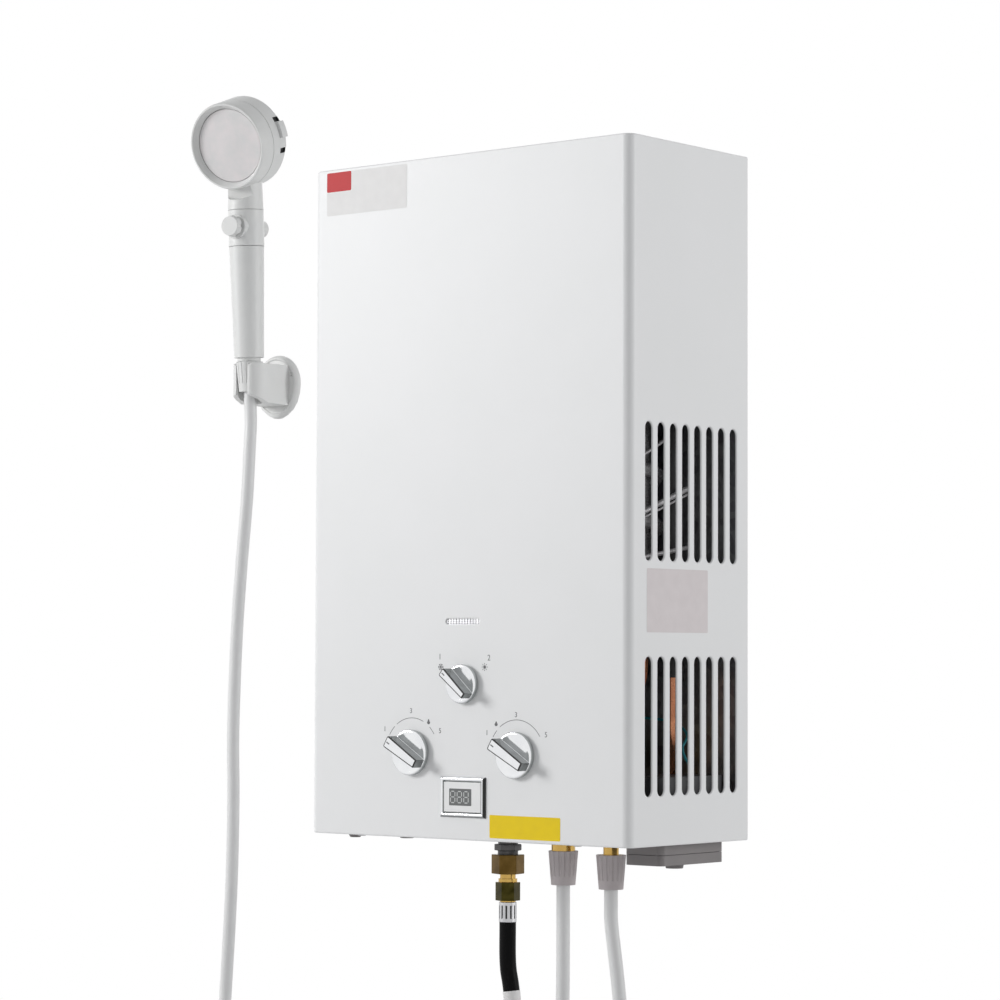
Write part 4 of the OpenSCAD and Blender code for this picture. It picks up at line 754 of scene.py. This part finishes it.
display = {
    "centre": (0, 36.6),
    # half width, half height and level, from the outside into the well
    "bezel": [(25.25, 17.4, 168.0), (25.25, 17.4, 168.6), (23.6, 16.2, 170.4), (23.2, 15.8, 170.6),
              (21.9, 14.3, 170.6), (21.6, 14.0, 170.2), (21.0, 13.15, 169.3), (20.9, 13.05, 158.6)],
    "openBelow": 159,  # the bezel has no back
    "bezelEdge": 0.35,
    # where the bezel's painted shade lies: its outer walls, its right flank and the slope into its well
    "sideTop": 169.0,
    "flankFrom": 168.8,
    "well": (21.8, 14.1, 170.2),
    "face": [(20.6, 12.75, 158.2), (20.6, 12.75, 169.4), (20.3, 12.45, 169.7)],
    "faceEdge": 0.2,
    "screen": 169.75,
    "window": {"place": (-2.2, -0.05), "half": (12.0, 6.85), "corner": 0.6, "steps": 6},
    "panes": [  # name, grown by, from and to about the screen's level, finish
        ("windowBorder", 0.35, -0.1, 0, "printInk"),
        ("windowGlass", 0, -0.05, 0.07, "greyGlass"),
    ],
    "figures": {"count": 3, "start": -12.9, "pitch": 7.4, "wide": 4.9, "high": 9.6, "bar": 0.85,
                "gap": 0.7, "levels": (0.04, 0.08)},
}


def displayPieces():
    place = onFront(*display["centre"])
    bezel = stacked("displayBezel", display["bezel"])
    cutFaces(bezel, lambda f: f.normal.z > 0.9 and f.center.z < display["openBelow"] * mm)
    bevelled(bezel, display["bezelEdge"], degrees=50)
    dress(settle(smoothed(bezel, 30), place), "bright_chrome", replaced=["display_frame"])
    side, flank, (wellX, wellZ, wellTop) = display["sideTop"], display["flankFrom"], display["well"]
    # painted shade: the bezel's outer walls and right flank near black, its lower slope and the slope into
    # its well in darker chrome
    repaint(bezel, "paintedDarkShade", lambda c, n: abs(n.z) < 0.3 and c.z < side, place)
    repaint(bezel, "paintedShadeChrome", lambda c, n: n.z < 0.96 and c.z > side and n.y < -0.2 and c.y < 0, place)
    repaint(bezel, "paintedDarkShade", lambda c, n: n.z < 0.96 and c.z > flank and n.x > 0.2 and c.x > 0, place)
    repaint(bezel, "paintedShadeChrome", lambda c, n: n.z < 0.9 and c.z < wellTop and abs(c.x) < wellX
            and abs(c.y) < wellZ, place)
    face = softened(stacked("displayFace", display["face"]), display["faceEdge"])
    dress(settle(face, place), "displayWhite", replaced=["display_module"])
    # a round-cornered window of grey glass with a thin dark border
    window, screen = display["window"], display["screen"]
    (x, z), (wide, high) = window["place"], window["half"]
    for name, grow, low, top, finish in display["panes"]:
        pane = stacked(name, [(wide + grow, high + grow, screen + level) for level in (low, top)])
        roundCorners(pane, window["corner"], window["steps"])
        dress(settle(pane, place @ Matrix.Translation(at(x, z, 0))), finish)
    # seven-part figures that show faintly while the display is off
    form = display["figures"]
    halfWide, half, thick = form["wide"] / 2, form["high"] / 2, form["bar"] / 2
    flat = (halfWide - form["bar"], thick)
    tall = (thick, half / 2 - form["bar"] * form["gap"])
    spots = [(0, z, *flat) for z in (half, 0, -half)]
    spots += [(x, z, *tall) for z in (half / 2, -half / 2) for x in (-halfWide, halfWide)]
    low, top = (screen + level for level in form["levels"])
    bars = []
    for i in range(form["count"]):
        for x, z, halfX, halfZ in spots:
            x += form["start"] + form["pitch"] * i + halfWide
            outline = cornersOf((x - halfX, z - halfZ), (x + halfX, z + halfZ))
            bars.append(outlined("figureBar", outline, low, top))
    dress(settle(joined("displayFigures", *bars), place), "ghostInk")


prints = {
    "level": 168.01, "thick": 0.06,
    "arcRadius": 30, "arcWidth": 0.5, "arcSides": 240,
    "arcs": {"gas_knob": [(132, 150), (63, 127), (32, 48)], "water_knob": [(136, 150), (33, 128)]},
    "textSize": 1.35,  # for a figure one high
    "numerals": [  # figure, x, z, height
        ("1", -27, 156, 5.2), ("2", 27.7, 155.3, 5.2), ("3", -59.7, 109.2, 4.6), ("3", 57.5, 107.4, 4.6),
        ("1", -89.7, 93.1, 4.6), ("5", -26.6, 92.5, 4.6), ("1", 25.8, 91.7, 4.6), ("5", 89.9, 91.1, 4.6),
    ],
    "rays": [(-26, 147.4, 6, 0, 2.9, 0), (23, 147.6, 8, 2.1, 3.3, 1.5)],  # x, z, arms, from, to, core
    "arm": 0.3,  # half width
    "twig": (1.3, 0.22, 45, 0.6),  # length, half width, lean, share of the arm where it grows
    "drops": [(-39.6, 99.7, 1.7, 1.9), (35.9, 99.3, 1.7, 1.5)],  # x, z, radius, stretch
    "dropPoint": (0.2, 0.62),  # share of the radius where it starts, width left
    "signSides": 32,
}


def arcBand(x, z, start, end):
    radius = prints["arcRadius"]
    band = circle("dialArc", radius * mm, prints["arcSides"], filled=False)
    angle = lambda v: math.degrees(math.atan2(v.co.y, v.co.x)) % 360
    pick(band, "VERT", lambda v: not start <= angle(v) <= end)
    bpy.ops.mesh.delete(type="VERT")
    leaveEdit()
    pick(band, "EDGE")
    grow = 1 - prints["arcWidth"] / radius
    bpy.ops.mesh.extrude_edges_move()
    bpy.ops.transform.resize(value=(grow, grow, 1), center_override=(0, 0, 0))
    leaveEdit()
    return settle(band, onFront(x, z))


def numeral(figure, x, z, height):
    clearPick()
    bpy.ops.object.text_add()
    text = bpy.context.object
    text.data.body = figure
    text.data.size = height * prints["textSize"] * mm
    text.data.align_x = "CENTER"
    text.data.align_y = "CENTER"
    bpy.ops.object.convert(target="MESH")
    return settle(bpy.context.object, onFront(x, z))


def raySign(x, z, arms, inner, outer, core):
    # bars round a centre: a sun with a round core, or the arms of a snowflake
    parts = []
    half = prints["arm"]
    length, thin, lean, share = prints["twig"]
    for i in range(arms):
        turn = 360 / arms * i
        arm = outlined("signArm", cornersOf((inner, -half), (outer, half)))
        parts.append(settle(arm, onFront(x, z, turn)))
        if core:
            continue
        rootX = x + math.cos(math.radians(turn)) * outer * share
        rootZ = z + math.sin(math.radians(turn)) * outer * share
        for way in (-lean, lean):
            twig = outlined("signTwig", cornersOf((0, -thin), (length, thin)))
            parts.append(settle(twig, onFront(rootX, rootZ, turn + way)))
    if core:
        parts.append(settle(circle("signCore", core * mm, prints["signSides"]), onFront(x, z)))
    return parts


def dropSign(x, z, size, tall):
    # a round drop drawn out to a point
    share, narrow = prints["dropPoint"]
    drop = circle("signDrop", size * mm, prints["signSides"])
    pick(drop, "VERT", lambda v: v.co.y > size * mm * share)
    bpy.ops.transform.resize(value=(narrow, tall, 1), center_override=(0, share * size * mm, 0))
    leaveEdit()
    return settle(drop, onFront(x, z))


def layPrints():
    parts = [arcBand(*knobs[node]["centre"], *arc) for node, arcs in prints["arcs"].items() for arc in arcs]
    parts += [numeral(*figure) for figure in prints["numerals"]]
    for sign in prints["rays"]:
        parts += raySign(*sign)
    parts += [dropSign(*drop) for drop in prints["drops"]]
    ink = joined("dialPrints", *parts)
    for vertex in ink.data.vertices:
        vertex.co.y = -prints["level"] * mm
    pick(ink, "FACE", lambda f: f.normal.y > 0)
    bpy.ops.mesh.flip_normals()
    leaveEdit()
    withStep(ink, "SOLIDIFY", thickness=prints["thick"] * mm, offset=1.0)
    dress(ink, "printInk")


# blank stickers: finish, face, and two corners in x and z on the front, or in y and z on the side
stickers = {
    "topSticker": ("palePaper", "front", (-162, 548.5), (-67.5, 587)),
    "topStickerBlock": ("redPaper", "front", (-162, 569.7), (-133, 587)),
    "lowSticker": ("yellowPaper", "front", (29, 3), (105.4, 22.5)),
    "sideSticker": ("greyPaper", "side", (-144.8, 177), (-58.8, 230)),
}
sticker = {"thick": 0.12, "over": 0.06, "corner": 1.2, "steps": 4}


def layStickers():
    for name, (finish, face, (a0, z0), (a1, z1)) in stickers.items():
        halfA, halfZ = (a1 - a0) / 2, (z1 - z0) / 2
        rise = sticker["over"] if name.endswith("Block") else 0  # this one lies on another
        paper = stacked(name, [(halfA, halfZ, rise), (halfA, halfZ, rise + sticker["thick"])])
        roundCorners(paper, sticker["corner"], sticker["steps"])
        middleA, middleZ = (a0 + a1) / 2, (z0 + z1) / 2
        if face == "front":
            place = frameOf((1, 0, 0), (0, 0, 1), (0, -1, 0), (middleA, -cover["depth"], middleZ))
        else:
            place = frameOf((0, 1, 0), (0, 0, 1), (1, 0, 0), (cover["halfWidth"], middleA, middleZ))
        dress(settle(paper, place), finish)


for node, knob in knobs.items():
    knobPieces(node, knob)
print("knobs turned")
displayPieces()
layPrints()
layStickers()
print("display, prints and stickers laid")

gasFitting = {
    "axis": (-39, -60),
    "tailHex": (-59.2, -42.6, 7.6),  # lower end, upper end and least radius of the hose's hexagon
    "grooveRadius": 7.55,
}
showerNutSide = -300  # the cone nut left of here is the hand shower's, and matches it


def outFromAxis(c):
    x, y = gasFitting["axis"]
    return math.hypot(c.x - x, c.y - y)


def paintFittings():
    low, high, reach = gasFitting["tailHex"]
    groove = gasFitting["grooveRadius"]
    # painted dark reflections on the union nut and the tail's hexagon, and painted shade in the sleeve's
    # grooves
    repaint(softPieces["gas_union_nut"], "nutBrass", lambda c, n: True)
    repaint(softPieces["gas_hose_tail"], "hexPaintedReflection",
            lambda c, n: low < c.z < high and outFromAxis(c) > reach)
    repaint(softPieces["gas_sleeve"], "paintedDarkShade", lambda c, n: outFromAxis(c) < groove and abs(n.z) < 0.5)
    repaint(softPieces["cone_nuts"], "white_plastic", lambda c, n: c.x < showerNutSide)


riser = {"place": (124, -38), "radius": 6.1, "sleeve": 0.9, "from": 139, "to": 398, "cut": (0.3, 0.4),
         "sides": 32}


def sleeveRiser():
    # a dark sleeve on the hot pipe, which also stands as painted shade behind the slots
    inner, outer = riser["radius"], riser["radius"] + riser["sleeve"]
    low, high = riser["from"], riser["to"]
    cutIn, cutUp = riser["cut"]
    profile = [(inner, low), (outer - cutIn, low), (outer, low + cutUp), (outer, high - cutUp),
               (outer - cutIn, high), (inner, high)]
    sleeve = turned("riserSleeve", profile, riser["sides"])
    settle(sleeve, Matrix.Translation(at(*riser["place"], 0)))
    dress(smoothed(sleeve), "blackLacquerAndPaintedShade")


paintFittings()
sleeveRiser()
print("fittings painted")

shower = {
    "seat": (-378, -41, 411), "turn": 9, "lean": 3,
    "head": (0, -30, 234), "headTilt": 104,  # from the seat, in the grip's own axes
    # radius and level of the spray face
    "spray": [(35.2, -8.7), (35.2, -6.3), (34.7, -5.8), (33.0, -5.72), (24, -5.45), (15.4, -5.2),
              (15.0, -5.3), (14.4, -5.3), (14.0, -5.15), (6, -5.0), (2, -4.98)],
    "spraySides": 96,
    "leverSlot": {"inner": 41.7, "low": -39.6, "high": -28.4, "from": -21, "to": 30},
}


def movedBy(place, angle, axis):
    return Matrix.Translation(at(*place)) @ Matrix.Rotation(math.radians(angle), 4, axis)


def inLeverSlot(c, n):
    slot = shower["leverSlot"]
    angle = math.degrees(math.atan2(c.y, c.x))
    return (math.hypot(c.x, c.y) < slot["inner"] and slot["low"] < c.z < slot["high"]
            and slot["from"] < angle < slot["to"])


handPlace = movedBy(shower["seat"], shower["turn"], "Z") @ movedBy((0, 0, 0), shower["lean"], "X")
headPlace = handPlace @ movedBy(shower["head"], shower["headTilt"], "X")
spray = turned("sprayFace", shower["spray"], shower["spraySides"])
dress(smoothed(settle(spray, headPlace), 40), "spray_face", replaced=["spray_plate"])
# painted shade: the faces inside the lever's slot are painted black
repaint(softPieces["shower_head"], "blackLacquerAndPaintedShade", inLeverSlot, headPlace)
print("hand shower painted")

holder = {
    "middle": (-378, 420), "radius": 28.75, "arcStep": 6,
    "side": [(27.6, -9), (24.6, -17.5), (19.4, -24.4), (12, -29.6), (5, -32.6), (1.2, -33)],
    "shoulder": 1.6,
    "rim": [(0.5, 1.5), (0.7, 1.3), (0.9, 1.0), (1.0, 0.6), (0.8, 0), (0.5, -0.3), (0.5, -0.5),
            (0.5, -0.2)],  # inwards, forwards
    "holes": [(-21.2, 9.6), (21.2, 9.6)],
    "drill": (2.2, -2, 12),  # radius, from, to
    "drillSides": 32,
    "root": 10.2,  # where the fork of the solid is cut
    "rootBack": 4.9,  # level that it is run back to, just inside the plate
    "forkEdge": 0.9,
}


def holderPlate():
    r = holder["radius"]
    arc = [math.radians(a) for a in range(0, 181, holder["arcStep"])]
    outline = [(r * math.cos(a), r * math.sin(a)) for a in arc]
    outline += [(-x, z) for x, z in holder["side"]] + holder["side"][::-1]
    plate = outlined("holderPlate", outline, 0, holder["shoulder"])
    pick(plate, "FACE", lambda f: f.normal.z > 0.9)
    for inward, rise in holder["rim"]:
        bpy.ops.mesh.inset(thickness=inward * mm, depth=0, use_even_offset=True)
        bpy.ops.transform.translate(value=(0, 0, rise * mm))
    leaveEdit()
    radius, low, high = holder["drill"]
    for x, y in holder["holes"]:
        drill = turned("drill", [(radius, low), (radius, high)], holder["drillSides"])
        settle(drill, Matrix.Translation(at(x, y, 0)))
        withStep(plate, "BOOLEAN", object=drill, operation="DIFFERENCE", solver="EXACT")
        bpy.data.objects.remove(drill)
    return settle(plate, onFront(*holder["middle"]))


def holderFork():
    # the fork of the solid, cut off at the plate and run back into it
    fork = fromNode("holderFork", "shower_holder")
    cut = -holder["root"] * mm
    pick(fork, "FACE")
    bpy.ops.mesh.bisect(plane_co=(0, cut, 0), plane_no=(0, 1, 0), use_fill=True, clear_outer=True)
    leaveEdit()
    pick(fork, "FACE", lambda f: f.normal.y > 0.9 and abs(f.center.y - cut) < 0.02 * mm)
    back = (holder["root"] - holder["rootBack"]) * mm
    bpy.ops.mesh.extrude_region_move(TRANSFORM_OT_translate={"value": (0, back, 0)})
    leaveEdit()
    return bevelled(cleaned(fork), holder["forkEdge"], 3, 38)


whole = joined("showerHolder", holderPlate(), holderFork())
dress(smoothed(whole, 36), slotOf["shower_holder"], replaced=["shower_holder"])
print("holder built")

straps = {  # behind the upper slots
    "name": "tinnedStraps",
    "runs": [  # start, end, radius
        ((138, -112, 321), (138, -66, 342.5), 1.7), ((138, -112, 274), (138, -34, 301.5), 2.4),
        ((138, -112, 269), (138, -34, 296.5), 1.0), ((138, -112, 238.6), (138, -34, 250.8), 2.0),
    ],
    "tip": (0.6, 0.8),  # share of the radius left at the ends, and the length of the taper
    "sides": 20,
}


def layStraps():
    name, (share, taper) = straps["name"], straps["tip"]
    parts = []
    for start, end, radius in straps["runs"]:
        run = Vector(end) - Vector(start)
        bar = turned(name, [(radius * share, 0), (radius, taper), (radius, run.length - taper),
                            (radius * share, run.length)], straps["sides"])
        along = run.to_track_quat("Z", "Y").to_matrix().to_4x4()
        parts.append(settle(bar, Matrix.Translation(at(*start)) @ along))
    dress(smoothed(joined(name, *parts)), "tinnedCopper")


layStraps()
print("straps laid")

hoses = {
    "showerHose": {
        "diameter": 12, "length": 1506.5, "nodes": ["shower_hose"], "finish": "white_hose",
        "seat": (-378, -41, 411), "axis": (0.008187, -0.051692, 0.99863),
        "route": [
            (-377.5, -40, 380), (-378, -41, 354), (-381, -41, 306), (-388, -41, 240), (-393.5, -41, 172),
            (-397, -41, 83), (-396, -41, 17), (-398, -41, -70), (-404, -42, -174), (-407, -44, -240),
            (-400, -47, -300), (-378, -50, -354), (-342, -53, -400), (-296, -56, -432), (-242, -59, -450),
            (-188, -61, -452), (-134, -62, -438), (-86, -62, -408), (-46, -62, -364), (-14, -61, -310),
            (8, -60, -254), (20, -60, -200), (23, -60, -150), (23.5, -60, -100), (23.5, -60, -66.2),
            (23.5, -60, -54.2), (23.5, -60, -42.2),
        ],
    },
    "gasHose": {
        "diameter": 14.8, "length": 1539, "nodes": ["gas_hose", "gas_hose_coil"], "finish": "black_rubber",
        "route": [
            (-39, -60, -77.8), (-39, -60, -85.8), (-39, -60, -106), (-38, -60, -120), (-35.5, -60, -132),
            (-33.5, -60, -146), (-32, -60, -168), (-32, -60, -196), (-32, -60, -226),
        ],
        "coil": {"start": (-32, -60, -240), "side": -1, "across": 140, "pitch": 15.8},
    },
    "inletHose": {
        "diameter": 12, "length": 1442, "nodes": ["inlet_hose", "inlet_hose_coil"], "finish": "white_hose",
        "route": [
            (76, -60, -43.6), (76, -60, -49.6), (76, -60, -55.6), (76, -60, -66), (77, -60, -78),
            (80, -60, -98), (84, -60, -126), (87, -60, -154), (88, -60, -182), (88, -60, -226),
        ],
        "coil": {"start": (88, -60, -240), "side": 1, "across": 126, "pitch": 13},
    },
}
seatSteps = (0, 6, 12)  # points along the axis of a seated end
coilTurns = 3
coilStep = 15  # degrees between two points of a coil
coilTail = (20, 40, 60)
pathSteps = 4


def coilPoints(coil):
    x, y, z = coil["start"]
    half, side = coil["across"] / 2, coil["side"]
    points = []
    for i in range(coilTurns * 360 // coilStep + 1):
        turn = math.radians(coilStep * i)
        points.append((x + side * half * (1 - math.cos(turn)), y - coil["pitch"] * i * coilStep / 360,
                       z - half * math.sin(turn)))
    return points + [(x, y - coil["pitch"] * coilTurns, z - drop) for drop in coilTail]


def hoseRoute(hose):
    route = [Vector(p) for p in hose["route"]]
    if "seat" in hose:
        route = [Vector(hose["seat"]) - Vector(hose["axis"]) * step for step in seatSteps] + route
    if "coil" in hose:
        route += [Vector(p) for p in coilPoints(hose["coil"])]
    return [p * mm for p in route]


def smoothPath(points):
    # the curve through the points, with a few stretches between two of them
    ends = [2 * points[0] - points[1]] + points + [2 * points[-1] - points[-2]]
    path = []
    for a, b, c, d in zip(ends, ends[1:], ends[2:], ends[3:]):
        for step in range(pathSteps):
            t = step / pathSteps
            path.append(0.5 * (2 * b + (c - a) * t + (2 * a - 5 * b + 4 * c - d) * t * t
                               + (3 * b - a - 3 * c + d) * t ** 3))
    return path + [points[-1]]


def tubeAlong(name, path, radius, roundness=8):
    line = bpy.data.curves.new(name, "CURVE")
    line.dimensions = "3D"
    spline = line.splines.new("POLY")
    spline.points.add(len(path) - 1)
    for point, place in zip(spline.points, path):
        point.co = (*place, 1)
    line.bevel_depth = radius
    line.bevel_resolution = roundness
    line.use_fill_caps = True
    tube = bpy.data.objects.new(name, line)
    bpy.context.collection.objects.link(tube)
    hold(tube)
    bpy.ops.object.convert(target="MESH")
    bpy.ops.object.shade_smooth()
    return bpy.context.object


hosePaths = {}
hosePieces = {}
for name, hose in hoses.items():
    hosePaths[name] = smoothPath(hoseRoute(hose))
    hosePieces[name] = tubeAlong(name, hosePaths[name], hose["diameter"] * mm / 2)
    dress(hosePieces[name], hose["finish"], replaced=hose["nodes"])
print("hoses laid")

# a pale tag wrapped round the gas hose, where it hangs near this x
tag = {"top": -137, "foot": -172, "middle": -33, "near": 4, "thick": 0.3, "edge": 0.15, "roundness": 16}
tieForm = {
    "wide": 8, "thick": 1.2, "gap": 0.1, "edge": 0.35, "sides": 48,
    "head": (5.2, 4.2), "headPast": 0.8, "headSunk": 0.6,
    "headBack": 3,  # from the end of the straight side
}
ties = {  # middle, and half the length and width of the loop round the turns
    "gasHose": {"middle": (-102, -79.75, -310), "half": (23.4, 7.6)},
    "inletHose": {"middle": (151, -76.25, -303), "half": (19.2, 6.2)},
}


def wrapTag():
    path = [point for point in hosePaths["gasHose"] if tag["foot"] * mm < point[2] < tag["top"] * mm
            and abs(point[0] - tag["middle"] * mm) < tag["near"] * mm]
    outer = hoses["gasHose"]["diameter"] / 2 + tag["thick"]
    wrap = bevelled(tubeAlong("hoseTag", path, outer * mm, tag["roundness"]), tag["edge"], 1, 50)
    return dress(wrap, "palePaper")


def tieCoil(name, tie):
    reach, bend = tie["half"]
    straight = reach - bend
    inner = bend + tieForm["gap"]
    outer, half = inner + tieForm["thick"], tieForm["wide"] / 2
    profile = [(inner, -half), (outer, -half), (outer, half), (inner, half), (inner, -half)]
    band = turned(name + "Tie", profile, tieForm["sides"])
    cutFaces(band, lambda f: len(f.vertices) > 4)
    cleaned(band)
    for vertex in band.data.vertices:
        if abs(vertex.co.y) > tiny:
            vertex.co.y += math.copysign(straight * mm, vertex.co.y)
    wide, high = (size / 2 for size in tieForm["head"])
    head = stacked("tieHead", [(wide, high, 0), (wide, high, half + tieForm["headPast"])])
    settle(head, frameOf((0, 1, 0), (0, 0, 1), (1, 0, 0),
                         (outer + high - tieForm["headSunk"], straight - tieForm["headBack"], -half / 2)))
    whole = softened(joined(name + "Tie", band, head), tieForm["edge"])
    settle(whole, frameOf((0, 0, 1), (0, 1, 0), (-1, 0, 0), tie["middle"]))
    return dress(whole, "blackLacquerAndPaintedShade")


hoseTag = wrapTag()
coilTies = {name: tieCoil(name, tie) for name, tie in ties.items()}
print("tag and ties placed")
